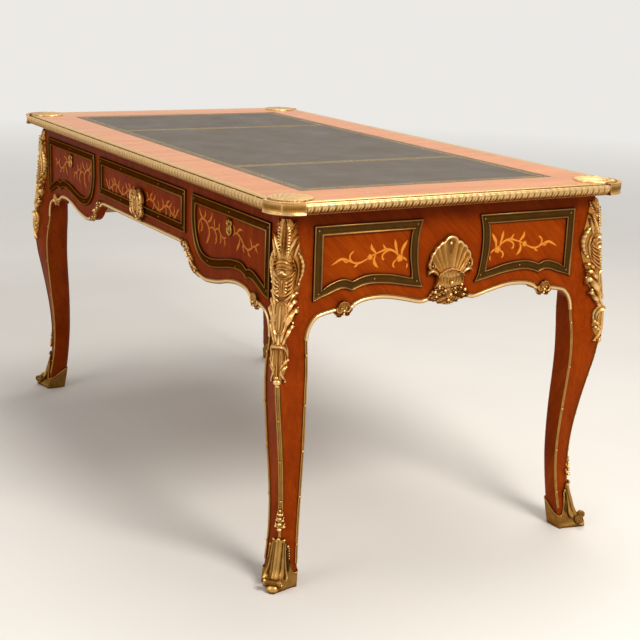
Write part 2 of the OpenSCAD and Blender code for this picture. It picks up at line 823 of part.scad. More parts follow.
// A keyhole plate with scalloped sides
module keyhole_plate(x) {
    w = plate_w / 2;
    h = plate_h / 2;
    half = curve([
        [0, -h], [0.35 * w, -0.75 * h], [0.9 * w, -0.55 * h], [0.7 * w, -0.1 * h],
        [w, 0.3 * h], [0.6 * w, 0.62 * h], [0, h]
    ], 4);
    difference() {
        facing_front(-fy - plate_t, plate_t) translate([x, key_z - 0.1 * plate_h])
            polygon(concat(half, part_of(mirrored(half), 1, len(half) - 2)));
        keyhole(x, -fy - plate_t - 1, -fy + 1);
    }
}

module lock_case(x) {
    difference() {
        translate([x - lock_w / 2, front_back_y - lock_sink, drawer_top - lock_h])
            cube([lock_w, lock_t, lock_h]);
        translate([
            x - bolt_w / 2 - bolt_gap, bolt_y - bolt_t / 2 - bolt_gap,
            drawer_top - bolt_len - bolt_gap
        ]) cube([bolt_w + 2 * bolt_gap, bolt_t + 2 * bolt_gap, bolt_len + bolt_gap + 1]);
    }
}

module lock_bolt(x) {
    translate([x - bolt_w / 2, bolt_y - bolt_t / 2, drawer_top - bolt_len])
        cube([bolt_w, bolt_t, bolt_len]);
}

module drawer_left_front() {
    color(wood_c) drawer_board(mirrored(side_outline(0)), -side_mid);
}

module drawer_left_box() {
    color(inner_c) drawer_box(-side_box_x1, -side_box_x0, side_box_z0);
}

module drawer_left_bottom() {
    color(inner_c) box_panel(-side_box_x1, -side_box_x0, side_box_z0);
}

module drawer_left_frame() {
    color(frame_c) bronze_frame(mirrored_all(side_bands));
}

module drawer_left_plate() {
    color(gilt_c) keyhole_plate(-side_mid);
}

module drawer_left_lock() {
    color(steel_c) lock_case(-side_mid);
}

module drawer_left_bolt() {
    color(steel_c) lock_bolt(-side_mid);
}

module drawer_center_front() {
    color(wood_c) drawer_board(mid_outline(0), 0);
}

module drawer_center_box() {
    color(inner_c) drawer_box(-mid_box_x, mid_box_x, mid_box_z0);
}

module drawer_center_bottom() {
    color(inner_c) box_panel(-mid_box_x, mid_box_x, mid_box_z0);
}

module drawer_center_frame() {
    color(frame_c) bronze_frame(mid_bands);
}

module drawer_center_lock() {
    color(steel_c) lock_case(0);
}

module drawer_center_bolt() {
    color(steel_c) lock_bolt(0);
}

module drawer_right_front() {
    color(wood_c) drawer_board(side_outline(0), side_mid);
}

module drawer_right_box() {
    color(inner_c) drawer_box(side_box_x0, side_box_x1, side_box_z0);
}

module drawer_right_bottom() {
    color(inner_c) box_panel(side_box_x0, side_box_x1, side_box_z0);
}

module drawer_right_frame() {
    color(frame_c) bronze_frame(side_bands);
}

module drawer_right_plate() {
    color(gilt_c) keyhole_plate(side_mid);
}

module drawer_right_lock() {
    color(steel_c) lock_case(side_mid);
}

module drawer_right_bolt() {
    color(steel_c) lock_bolt(side_mid);
}

// Legs

// A leg's line: height, as a share of the leg below the aprons and 1 more of that beside them;
// then, as shares of the knee's swell, how far the inner faces stand off the aprons' ends, how
// far the outer corner swells, and how far the outer faces' inner edges swell
leg_line = [
    [0, 0.67, 0.76, 0.53], [0.08, 0.44, 0.31, 0.22], [0.20, 0.18, -0.27, -0.22],
    [0.33, 0, -0.42, -0.36], [0.455, -0.04, -0.27, -0.22], [0.58, 0, 0.07, 0.04],
    [0.70, 0.09, 0.49, 0.27], [0.79, 0.13, 0.82, 0.40], [0.89, 0.09, 1, 0.36],
    [1, 0, 0.93, 0], [1.22, 0, 0.71, 0], [1.54, 0, 0.36, 0], [2, 0, 0, 0]
];

// The lines of a leg at height z; beside the aprons its faces are flush with them
function leg_at(z) =
    let (share = z < leg_z ? z / leg_z : 1 + (z - leg_z) / leg_drop)
    let (s = knee_swell * smooth(leg_line, share))
    z < leg_z ? s : [s[0], 0, s[2], 0];

// Point k of the leg's section at height z, drawn out by g and, at the outer corner, by toe
function leg_point(k, z, g, toe) =
    let (s = leg_at(z))
    let (x0 = leg_x + s[1] - g)
    let (y0 = leg_y + s[1] - g)
    let (xa = fx + s[2] + g + toe)
    let (ya = fy + s[2] + g + toe)
    let (xe = fx + s[3] + g)
    let (ye = fy + s[3] + g)
    let (c = inner_cut)
    let (b = arris_cut)
    k == 0 ? [x0 + c, y0, z]
    : k == 1 ? [xe, y0, z]
    : k == 2 ? [xe, y0 + leg_margin, z]
    : k == 3 ? [xa, ya - b, z]
    : k == 4 ? [xa - b, ya, z]
    : k == 5 ? [x0 + leg_margin, ye, z]
    : k == 6 ? [x0, ye, z]
    : [x0, y0 + c, z];

// Heights of the rings of a leg, which what lies on it shares
leg_start = leg_foot_z + seat_gap;
leg_rings = concat(
    [for (i = [0:25]) leg_start + i / 26 * (leg_z - leg_start)],
    [for (i = [0:12]) leg_z + i / 12 * leg_drop]
);
function rings_between(z0, z1) = concat(
    [z0], [for (z = leg_rings) if (z > z0 + 2 && z < z1 - 2) z], [z1]
);

module leg() {
    color(wood_c) loft([for (z = leg_rings) [for (k = [0:7]) leg_point(k, z, 0, 0)]]);
}

module leg_front_left() {
    at_corner(-1, -1) leg();
}

module leg_front_right() {
    at_corner(1, -1) leg();
}

module leg_back_left() {
    at_corner(-1, 1) leg();
}

module leg_back_right() {
    at_corner(1, 1) leg();
}

// A shoe's wall rises to these shares of its height at the eight points of the leg's section
shoe_rise = [0.42, 0.46, 0.46, 1, 1, 0.46, 0.46, 0.42];
toe_line = [[0, 3], [4, 8], [12, 11], [22, 9], [32, 3], [44, 0], [60, 0], [200, 0]];
shoe_steps = 9;

module shoe() {
    outside = [
        for (i = [0:shoe_steps]) [
            for (k = [0:7])
                let (z = shoe_rise[k] * shoe_h * i / shoe_steps)
                leg_point(k, z, shoe_t, smooth(toe_line, z)[1])
        ]
    ];
    inside = [
        for (i = [0:shoe_steps]) [
            for (k = [0:7])
                let (top = shoe_rise[k] * shoe_h)
                leg_point(k, top + (leg_foot_z - top) * i / shoe_steps, cast_gap, 0)
        ]
    ];
    color(gilt_c) loft(concat(outside, inside));
}

module sabot_front_left() {
    at_corner(-1, -1) shoe();
}

module sabot_front_right() {
    at_corner(1, -1) shoe();
}

module sabot_back_left() {
    at_corner(-1, 1) shoe();
}

module sabot_back_right() {
    at_corner(1, 1) shoe();
}

// Fillets on the legs

out = [1, 1] / sqrt(2);
along = [-1, 1] / sqrt(2);
half_round = [[-1, 0], [-0.75, 0.7], [0, 1], [0.75, 0.7], [1, 0]];

// The point at height z, off by a along the cut corner's face and by b out from it
function arris_point(z, a, b) =
    let (s = leg_at(z))
    let (x = fx + s[2] - arris_cut / 2)
    let (y = fy + s[2] - arris_cut / 2)
    [x + a * along[0] + b * out[0], y + a * along[1] + b * out[1], z];

fillet_gap = 1;
husk_low = shoe_h + 3;
chute_top = frame_top - 10;

module arris_fillet() {
    loft([
        for (z = rings_between(husk_top + fillet_gap, chute_low - fillet_gap))
            [for (s = half_round) arris_point(z, s[0] * arris_w, seat_gap + s[1] * arris_h)]
    ]);
}

module arris_fillets() {
    color(gilt_c) for (sx = [-1, 1], sy = [-1, 1]) at_corner(sx, sy) arris_fillet();
}

// Berries and husks that hang above each shoe
husk_w = [2, 7, 4, 8, 5, 9, 4];
husk_h = [2, 5, 4, 6, 5, 7, 3];

module husk() {
    n = len(husk_w) - 1;
    loft([
        for (i = [0:n])
            let (z = husk_low + (husk_top - husk_low) * i / n)
            [for (s = half_round) arris_point(z, s[0] * husk_w[i], seat_gap + s[1] * husk_h[i])]
    ]);
}

module leg_husks() {
    color(gilt_c) for (sx = [-1, 1], sy = [-1, 1]) at_corner(sx, sy) husk();
}

// The thin fillet down the outer face's inner edge, from the bead to the shoe
module leg_line_fillet() {
    loft([
        for (z = rings_between(shoe_rise[1] * shoe_h + 2 * fillet_gap, leg_z))
            let (s = leg_at(z))
            let (x = fx + s[3] + seat_gap)
            let (y = leg_y + s[1] + line_in)
            [for (q = half_round) [x + q[1] * line_h, y + q[0] * line_w, z]]
    ]);
}

// The same on the face that looks along Y
module leg_line_fillet_y() {
    translate([leg_x - leg_y, leg_y - leg_x, 0]) mirror([1, -1, 0]) leg_line_fillet();
}

module leg_fillets() {
    color(gilt_c) for (sx = [-1, 1], sy = [-1, 1]) at_corner(sx, sy) {
        leg_line_fillet();
        leg_line_fillet_y();
    }
}

// The long mounts on the legs' knees: share of their height, width on each face as a share of
// the leg's, share of their thickness
chute_line = [
    [0, 0.10, 0.20], [0.05, 0.32, 0.40], [0.11, 0.51, 0.60], [0.18, 0.53, 0.67],
    [0.22, 0.40, 0.87], [0.26, 0.28, 0.73], [0.32, 0.45, 0.80], [0.38, 0.72, 1],
    [0.43, 0.85, 0.87], [0.50, 0.75, 0.73], [0.55, 0.79, 0.67], [0.61, 0.89, 0.80],
    [0.69, 0.92, 0.87], [0.77, 0.79, 0.73], [0.85, 0.68, 0.67], [0.91, 0.55, 0.60],
    [0.965, 0.42, 0.67], [1, 0.28, 0.40]
];

// The mount's section at height z: along the end face, over the corner, along the side face,
// and back under it
function chute_ring(z) =
    let (row = smooth(chute_line, (z - chute_low) / (chute_top - chute_low)))
    let (w = row[1] * leg_w)
    let (t = row[2] * chute_t)
    let (s = leg_at(z))
    let (xa = fx + s[2] + cast_gap)
    let (ya = fy + s[2] + cast_gap)
    let (b = arris_cut)
    let (run = leg_w + s[2] - b - s[1] - leg_margin)
    let (dx = (w - b) * (s[2] - s[3]) / run)
    [
        [xa - dx, ya - w, z],
        [xa - dx + 0.3 * t, ya - w, z],
        [xa + 0.55 * t - 0.5 * dx, ya - (w + b) / 2, z],
        [xa + t, ya - b, z],
        [xa + 0.8 * t, ya + 0.8 * t, z],
        [xa - b, ya + t, z],
        [xa - (w + b) / 2, ya + 0.55 * t - 0.5 * dx, z],
        [xa - w, ya - dx + 0.3 * t, z],
        [xa - w, ya - dx, z],
        [xa - b, ya, z],
        [xa, ya - b, z]
    ];

module chute() {
    loft([for (z = rings_between(chute_low, chute_top)) chute_ring(z)]);
}

module leg_chutes() {
    color(gilt_c) for (sx = [-1, 1], sy = [-1, 1]) at_corner(sx, sy) chute();
}

// Beads on the aprons' lower edges

function filled(p, v) = [for (q = p) v];

module bead(path) {
    strip(path, filled(path, bead_w), filled(path, bead_h));
}

module front_beads() {
    knee = part_of(front_path, 0, knee_end);
    on_front(-fy) {
        bead(concat(part_of(mirrored(knee), 0, len(knee) - 2), knee));
        for (s = [0, 1]) mirror([s, 0, 0]) {
            bead(part_of(front_path, scroll_end, clasp_start));
            bead(part_of(front_path, clasp_end, front_end));
        }
    }
}

module bead_front() {
    color(gilt_c) front_beads();
}

module bead_back() {
    color(gilt_c) to_back() front_beads();
}

module end_beads() {
    on_end(fx) for (s = [0, 1]) mirror([s, 0, 0]) {
        bead(part_of(end_path, 0, end_clasp_start));
        bead(part_of(end_path, end_clasp_end, end_end));
    }
}

module bead_right() {
    color(gilt_c) end_beads();
}

module bead_left() {
    color(gilt_c) mirror([1, 0, 0]) end_beads();
}

// Leaf scrolls that carry the bead round the kneehole's corners
module kneehole_scroll() {
    path = part_of(front_path, knee_end, scroll_end);
    n = len(path) - 1;
    w = [for (i = [0:n]) bead_w + (scroll_w - bead_w) * sin(180 * i / n)];
    h = [for (i = [0:n]) bead_h * (1.2 + 0.8 * sin(180 * i / n))];
    strip(path, w, h);
}

module kneehole_scrolls() {
    color(gilt_c) for (back = [0, 1]) rotate([0, 0, 180 * back]) on_front(-fy)
        for (s = [0, 1]) mirror([s, 0, 0]) kneehole_scroll();
}

// A raised form over the plane w = 0: rows of [v, half width], highest at t in the middle,
// with n flutes to each side that fan out above the level fan_v
module fluted(rows, t, back_t, n, fan_v, cols = 14) {
    last = len(rows) - 1;
    front = [
        for (r = rows) [
            for (j = [0:cols])
                let (s = 2 * j / cols - 1)
                let (dome = sqrt(max(0, 1 - 0.9 * s * s)))
                let (flute = r[0] > fan_v ? 0.18 * cos(360 * n * s) : 0)
                [s * r[1], r[0], back_t + (t - back_t) * (dome + flute) / 1.18]
        ]
    ];
    loft([
        for (i = [0:last]) concat(
            front[i], [[rows[i][1], rows[i][0], 0], [-rows[i][1], rows[i][0], 0]]
        )
    ]);
}

// The shell in the middle of an end: distance down from its tip and share of its half width
shell_top = 64;
shell_bottom = end_drop + end_rise + 13.5;
shell_rows = [
    [0, 0.13], [0.03, 0.32], [0.08, 0.54], [0.16, 0.74], [0.26, 0.86], [0.36, 0.93],
    [0.44, 0.96], [0.50, 1], [0.55, 0.82], [0.60, 0.55], [0.66, 0.50], [0.72, 0.62],
    [0.78, 0.62], [0.84, 0.80], [0.88, 0.94], [0.93, 0.66], [0.97, 0.36], [1, 0.12]
];

module shell() {
    tall = shell_bottom - shell_top;
    rows = [for (r = reversed(shell_rows)) [frame_top - shell_top - r[0] * tall, r[1] * shell_w]];
    on_end(fx) fluted(rows, shell_t, shell_back_t, 2, frame_top - shell_top - 0.5 * tall);
}

module shell_right() {
    color(gilt_c) shell();
}

module shell_left() {
    color(gilt_c) mirror([1, 0, 0]) shell();
}

// The crest on the middle drawer hangs over the rail below, clear of the bead
crest_gap = 1.5;
crest_low = frame_top - knee_drop + bead_w + crest_gap;
crest_rows = [
    [0, 0.20], [0.07, 0.46], [0.18, 0.72], [0.30, 0.94], [0.44, 1], [0.58, 0.82],
    [0.72, 0.74], [0.84, 0.56], [0.94, 0.34], [1, 0.14]
];

module crest() {
    rows = [for (r = crest_rows) [crest_low + r[0] * crest_h, r[1] * crest_w]];
    on_front(-fy - frame_t - frame_edge_h)
        fluted(rows, crest_t, mount_back_t, 2, crest_low + 0.3 * crest_h);
}

module drawer_center_crest() {
    color(gilt_c) crest();
}

// Clasps over the joints of the beads: a small shell with two curls
module clasp() {
    rows = [for (i = [0:6]) [
        clasp_h * (i / 6 - 0.5), clasp_len / 2 * (0.25 + 0.72 * sin(180 * (i + 0.4) / 6.8))
    ]];
    fluted(rows, clasp_t, mount_back_t, 1, 0, 8);
}

front_clasp_z = (front_path[clasp_start][1] + front_path[clasp_end][1]) / 2;
end_clasp_z = (end_path[end_clasp_start][1] + end_path[end_clasp_end][1]) / 2;

module bead_clasps() {
    color(gilt_c) for (back = [0, 1]) rotate([0, 0, 180 * back]) {
        on_front(-fy) for (s = [-1, 1]) translate([s * clasp_x, front_clasp_z, 0]) clasp();
        on_end(fx) for (s = [-1, 1]) translate([s * end_clasp_y, end_clasp_z, 0]) clasp();
    }
}

// Frames and plates that are fixed to the aprons

module apron_frames() {
    color(frame_c) {
        to_back() {
            bronze_frame(side_bands);
            bronze_frame(mirrored_all(side_bands));
            bronze_frame(mid_bands);
        }
        for (s = [0, 1]) mirror([s, 0, 0]) translate([fx, 0, 0]) rotate([0, 0, 90])
            translate([0, fy, 0]) {
                bronze_frame(end_bands);
                bronze_frame(mirrored_all(end_bands));
            }
    }
}

module back_plates() {
    color(gilt_c) to_back() {
        keyhole_plate(side_mid);
        keyhole_plate(-side_mid);
        crest();
    }
}

top_board();
leather_panels();
rim_front();
rim_back();
rim_left();
rim_right();
corner_caps();
leg_front_left();
leg_front_right();
leg_back_left();
leg_back_right();
sabot_front_left();
sabot_front_right();
sabot_back_left();
sabot_back_right();
leg_chutes();
arris_fillets();
leg_husks();
leg_fillets();
bead_front();
bead_back();
bead_left();
bead_right();
bead_clasps();
shell_left();
shell_right();
kneehole_scrolls();
apron_frames();
apron_left();
apron_right();
apron_back();
back_plates();
front_rail_top();
front_rail_center();
front_rail_left();
front_rail_right();
front_stiles();
partitions();
drawer_runners();
drawer_left_front();
drawer_left_box();
drawer_left_bottom();
drawer_left_frame();
drawer_left_plate();
drawer_left_lock();
drawer_left_bolt();
drawer_center_front();
drawer_center_box();
drawer_center_bottom();
drawer_center_frame();
drawer_center_crest();
drawer_center_lock();
drawer_center_bolt();
drawer_right_front();
drawer_right_box();
drawer_right_bottom();
drawer_right_frame();
drawer_right_plate();
drawer_right_lock();
drawer_right_bolt();
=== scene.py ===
"""A bureau plat in veneer, leather and gilt bronze: its looks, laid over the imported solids.

Shapes are drawn in millimetres on a sheet: a across, b up and h off the sheet. A placing function
lays the sheet on the front, an end, the top or a leg's corner, and turns it into metres.
"""

import json
import math

import bpy
import numpy as np
from mathutils import Matrix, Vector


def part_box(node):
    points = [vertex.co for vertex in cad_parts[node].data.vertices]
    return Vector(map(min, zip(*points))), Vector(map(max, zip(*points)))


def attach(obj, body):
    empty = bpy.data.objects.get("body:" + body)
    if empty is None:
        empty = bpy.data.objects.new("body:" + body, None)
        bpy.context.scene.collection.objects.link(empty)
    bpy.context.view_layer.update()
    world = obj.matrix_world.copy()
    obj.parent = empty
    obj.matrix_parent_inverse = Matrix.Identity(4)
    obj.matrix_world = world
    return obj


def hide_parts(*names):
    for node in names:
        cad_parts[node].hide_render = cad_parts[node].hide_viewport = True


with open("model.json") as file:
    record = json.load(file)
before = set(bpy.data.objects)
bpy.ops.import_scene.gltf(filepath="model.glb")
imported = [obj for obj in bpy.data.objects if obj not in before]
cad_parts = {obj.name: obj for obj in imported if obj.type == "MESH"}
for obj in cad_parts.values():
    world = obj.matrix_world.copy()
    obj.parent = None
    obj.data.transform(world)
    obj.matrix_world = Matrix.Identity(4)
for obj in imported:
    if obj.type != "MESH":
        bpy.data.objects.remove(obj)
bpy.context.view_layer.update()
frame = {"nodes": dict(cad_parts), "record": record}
MM = 0.001

# Sizes, in millimetres, as in the solids
FX, _, FRAME_TOP = (1000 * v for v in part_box("apron_right")[1])
FY = 1000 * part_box("apron_back")[1].y
RIM_X, _, DESK_H = (1000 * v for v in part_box("rim_right")[1])
RIM_Y = 1000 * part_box("rim_back")[1].y
LEATHER_X, LEATHER_Y, LEATHER_Z = (1000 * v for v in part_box("leather_panels")[1])
RIM_W = 27.0
RIM_H = 23.5
CAP_REACH = 60.0
LEG_W = 53.0
LEG_X = FX - LEG_W
LEG_Y = FY - LEG_W
LEG_DROP = 248.0
LEG_Z = FRAME_TOP - LEG_DROP
ARRIS_CUT = 8.0
INNER_CUT = 10.0
LEG_MARGIN = 9.0
KNEE_SWELL = 22.5
SHOE_H = 98.0
SHOE_T = 2.6
LEG_FOOT = 8.25
BEAD_OFFSET = 3.2
SEAT_GAP = 0.25
KNEE_DROP = 142.5
END_DROP = 176.5
DRAWER_DROP = 28.0
DRAWER_TOP = FRAME_TOP - DRAWER_DROP
RAIL_H = 21.5
MID_X = 266.0
SIDE_X0 = 304.0
SIDE_X1 = LEG_X - 1.2
SIDE_LEN = SIDE_X1 - SIDE_X0
SIDE_MID = (SIDE_X0 + SIDE_X1) / 2
KEY_Z = DRAWER_TOP - 42
CLASP_LEN = 34.0
BAY_W = 69.0


# Curves and tables


def curve(points, steps):
    """Catmull-Rom curve through the points: b + (c-a)u/2 + (2a-5b+4c-d)u2/2 + (3b-a-3c+d)u3/2."""
    p = np.asarray(points, float)
    p = np.vstack([2 * p[0] - p[1], p, 2 * p[-1] - p[-2]])
    a, b, c, d = (p[k:len(p) - 3 + k, None, :] for k in range(4))
    u = (np.arange(steps) / steps)[None, :, None]
    q = b + (c - a) * u / 2 + (2 * a - 5 * b + 4 * c - d) * u ** 2 / 2
    q = q + (3 * b - a - 3 * c + d) * u ** 3 / 2
    return np.vstack([q.reshape(-1, p.shape[1]), p[-2]])


def smooth(rows, x):
    """Values of a table at x: a cubic whose slope at each row is that between its neighbours."""
    t = np.asarray(rows, float)
    pad = np.vstack([t[:1], t, t[-1:]])
    slope = (pad[2:] - pad[:-2]) / (pad[2:, :1] - pad[:-2, :1])
    i = np.clip(np.searchsorted(t[:, 0], x, side="right") - 1, 0, len(t) - 2)
    h = (t[i + 1, 0] - t[i, 0])[..., None]
    u = (x - t[i, 0])[..., None] / h
    return (
        (2 * u ** 3 - 3 * u ** 2 + 1) * t[i] + (u ** 3 - 2 * u ** 2 + u) * h * slope[i]
        + (3 * u ** 2 - 2 * u ** 3) * t[i + 1] + (u ** 3 - u ** 2) * h * slope[i + 1]
    )


def spread(values, n):
    """n values evenly along a smooth curve through the given ones."""
    v = np.atleast_1d(np.asarray(values, float))
    if len(v) == 1:
        return np.full(n, v[0])
    q = curve(v[:, None], 8)[:, 0]
    return np.interp(np.linspace(0, 1, n), np.linspace(0, 1, len(q)), q)


def unit(v):
    return v / np.linalg.norm(v, axis=-1, keepdims=True)


def between(x, at, rows):
    """Rows at x, straight between rows that stand at the given places."""
    return np.stack([np.interp(x, at, rows[:, c]) for c in range(rows.shape[1])], -1)


def beside(line, d):
    """A path's points moved by d to its left."""
    along = unit(np.gradient(line, axis=0))
    return line + d * np.stack([-along[:, 1], along[:, 0]], -1)


def mirrored(half):
    """Points from the middle to the right end, led up to by their mirror image."""
    return [[-a, b] for a, b in half[:0:-1]] + half


# Placing functions


def on_front(p):
    return MM * np.stack([p[..., 0], -FY - p[..., 2], p[..., 1]], -1)


def on_back(p):
    return MM * np.stack([-p[..., 0], FY + p[..., 2], p[..., 1]], -1)


def on_right(p):
    return MM * np.stack([FX + p[..., 2], p[..., 0], p[..., 1]], -1)


def on_left(p):
    return MM * np.stack([-FX - p[..., 2], -p[..., 0], p[..., 1]], -1)


# A leg's line, as in the solids: share of its height, inner faces, outer corner, outer faces' edges
LEG_LINE = [
    [0, 0.67, 0.76, 0.53], [0.08, 0.44, 0.31, 0.22], [0.20, 0.18, -0.27, -0.22],
    [0.33, 0, -0.42, -0.36], [0.455, -0.04, -0.27, -0.22], [0.58, 0, 0.07, 0.04],
    [0.70, 0.09, 0.49, 0.27], [0.79, 0.13, 0.82, 0.40], [0.89, 0.09, 1, 0.36],
    [1, 0, 0.93, 0], [1.22, 0, 0.71, 0], [1.54, 0, 0.36, 0], [2, 0, 0, 0]
]


def leg_at(z):
    """How far the inner faces, outer corner and outer faces' edges swell out at height z. Above the
    knee only the outer corner does."""
    share = np.where(z < LEG_Z, z / LEG_Z, 1 + (z - LEG_Z) / LEG_DROP)
    s = KNEE_SWELL * smooth(LEG_LINE, share)[..., 1:]
    below = (z < LEG_Z)[..., None] | np.array([False, True, False])
    return np.where(below, s, 0)


def on_leg(p):
    """The sheet round the outer corner of the leg at +X, +Y: a is 0 on the corner's cut, grows
    over the end face and falls over the long face; h goes out, square to the surface."""
    a, z, h = p[..., 0], p[..., 1], p[..., 2]
    s = leg_at(z)
    half_cut = ARRIS_CUT / math.sqrt(2)
    d = np.abs(a)
    near, beyond = np.minimum(d, half_cut), np.maximum(d - half_cut, 0)
    run = LEG_W + s[..., 1] - ARRIS_CUT - s[..., 0] - LEG_MARGIN
    fall = (s[..., 1] - s[..., 2]) / run
    u = np.clip(d / (2.5 * half_cut), 0, 1)
    turn = math.pi / 4 * (1 - u * u * (3 - 2 * u))
    out = s[..., 1] - ARRIS_CUT / 2 + near / math.sqrt(2) - beyond * fall
    out = out + SEAT_GAP + h * np.cos(turn)
    side = s[..., 1] - ARRIS_CUT / 2 - near / math.sqrt(2) - beyond + h * np.sin(turn)
    end_face = (a >= 0)
    x = np.where(end_face, FX + out, FX + side)
    y = np.where(end_face, FY + side, FY + out)
    return MM * np.stack([x, y, z], -1)


# Castings: closed surfaces gathered into one piece


class Casting:
    """rings has the shape (rings, points, 3). Each row is a closed ring, and neighbouring rows are
    joined. The end rows are closed, or joined to each other when loop is true."""

    def __init__(self):
        self.points, self.faces, self.relief, self.count = [], [], [], 0

    def add(self, rings, relief=0.0, loop=False):
        n, m = rings.shape[:2]
        flat = rings.reshape(-1, 3)
        i = np.arange(n if loop else n - 1)[:, None] * m
        j = np.arange(m)[None, :]
        k = (j + 1) % m
        up = (i + m) % (n * m)
        quads = np.stack([i + j, i + k, up + k, up + j], -1).reshape(-1, 4)
        q = flat[quads] - flat.mean(0)
        volume = (q[:, 0] * (np.cross(q[:, 1], q[:, 2]) + np.cross(q[:, 2], q[:, 3]))).sum()
        caps = [] if loop else [list(range(m))[::-1], list(range((n - 1) * m, n * m))]
        if volume < 0:
            quads = quads[:, ::-1]
            caps = [c[::-1] for c in caps]
        self.points.append(flat)
        self.faces += (quads + self.count).tolist() + [[v + self.count for v in c] for c in caps]
        self.relief.append(np.broadcast_to(relief, (n, m)).ravel())
        self.count += n * m

    def each(self, places, rings, relief=0.0, loop=False):
        """Adds the sheet's rings once for each placing function."""
        for place in places:
            self.add(place(rings), relief, loop)

    def strokes(self, places, table, steps=6):
        for row in table:
            self.each(places, *stroke(*row, steps=steps))

    def balls(self, places, table, *shape):
        for row in table:
            self.each(places, *ball(*row, *shape))

    def cast(self, name, material, body, slot, *nodes, sharp=42):
        mesh = bpy.data.meshes.new(name)
        mesh.from_pydata(np.concatenate(self.points).tolist(), [], self.faces)
        relief = mesh.attributes.new("relief", "FLOAT", "POINT")
        relief.data.foreach_set("value", np.concatenate(self.relief))
        mesh.shade_smooth()
        mesh.set_sharp_from_angle(angle=math.radians(sharp))
        mesh.materials.append(material)
        piece = bpy.data.objects.new(name, mesh)
        bpy.context.scene.collection.objects.link(piece)
        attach(piece, body)
        if nodes:
            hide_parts(*nodes)
        return piece


def flipped(place):
    """The same placing function for a sheet turned over left to right."""
    return lambda p: place(p * np.array([-1, 1, 1]))


def both_ways(places):
    """Each placing function, followed by itself turned over."""
    return [f(place) for place in places for f in (lambda p: p, flipped)]


def corner(signs):
    """Puts what is modelled at the corner +X, +Y of the desk at the corner of these signs."""
    return lambda p: on_leg(p) * signs


# Each corner's name and signs
CORNER_SIGNS = [(f"{y}_{x}", np.array([sx, sy, 1])) for x, sx in (("left", -1), ("right", 1))
                for y, sy in (("front", -1), ("back", 1))]
FROM_RIGHT = [signs for _, signs in CORNER_SIGNS[::-1]]
CORNERS = [corner(signs) for signs in FROM_RIGHT]
LONG_SIDES = [on_front, on_back]
ENDS = [on_right, on_left]

# Sections across a moulding: share of its half width, share of its height, relief for the finish
ROUND = [[-1, 0, 0], [-0.92, 0.38, 0.2], [-0.6, 0.8, 0.6], [0, 1, 1], [0.6, 0.8, 0.6],
         [0.92, 0.38, 0.2], [1, 0, 0]]
LEAF = [[-1, 0, 0], [-0.96, 0.55, 0.8], [-0.62, 0.8, 0.9], [-0.26, 0.5, 0.1], [0, 1, 1],
        [0.26, 0.5, 0.1], [0.62, 0.8, 0.9], [0.96, 0.55, 0.8], [1, 0, 0]]
CHANNEL = [[-1, 0, 0], [-0.96, 0.8, 0.7], [-0.78, 1, 1], [-0.5, 0.55, 0.2], [0, 0.4, 0],
           [0.5, 0.55, 0.2], [0.78, 1, 1], [0.96, 0.8, 0.7], [1, 0, 0]]


def stroke(path, width, height, section=ROUND, lobes=0, steps=6, sink=0.0):
    """A tapering moulding along a curve on the sheet. At share t of the path it reaches width(t) to
    each side and height(t) up. Lobes cut its edges into teeth that point along it, by a cosine, and
    sink is how far its foot goes under the sheet. Returns rings and relief."""
    line = curve(path, steps)
    n = len(line)
    t = np.linspace(0, 1, n)
    s = np.asarray(section, float)
    w, h = spread(width, n)[:, None], spread(height, n)[:, None]
    along = unit(np.gradient(line, axis=0))
    across = np.stack([-along[:, 1], along[:, 0]], -1)
    relief = np.broadcast_to(s[:, 2], (n, len(s))) * 1.0
    reach = s[None, :, 0] * w
    push = np.zeros_like(reach)
    up = s[None, :, 1] * h
    if lobes:
        phase = (lobes * t)[:, None] % 1
        reach = reach * (0.68 + 0.32 * np.cos(math.pi * phase / 2) ** 0.5)
        push = w * 0.45 * np.abs(s[None, :, 0]) ** 2
        tooth = np.cos(2 * math.pi * (phase - 0.28))
        up = up * (1 + 0.22 * tooth * np.abs(s[None, :, 0]))
        relief = np.clip(relief + 0.3 * tooth, 0, 1)
    flat = line[:, None] + across[:, None] * reach[..., None] + along[:, None] * push[..., None]
    up = np.where(s[None, :, 1] == 0, -sink, up)
    return np.dstack([flat, up]), relief


def ball(a, b, h, r, squash=1.0, rows=6, cols=8):
    """A small round berry or nail head: rings of latitude about a point on the sheet."""
    lat = np.linspace(-1.45, 1.45, rows)[:, None]
    lon = (np.arange(cols) * 2 * math.pi / cols)[None, :]
    ring = np.dstack([
        a + r * np.cos(lat) * np.cos(lon), b + r * np.cos(lat) * np.sin(lon),
        h + r * squash * np.sin(lat) + 0 * lon
    ])
    return ring, np.clip(np.sin(lat) + 0.5 + 0 * lon, 0, 1)


# Finishes


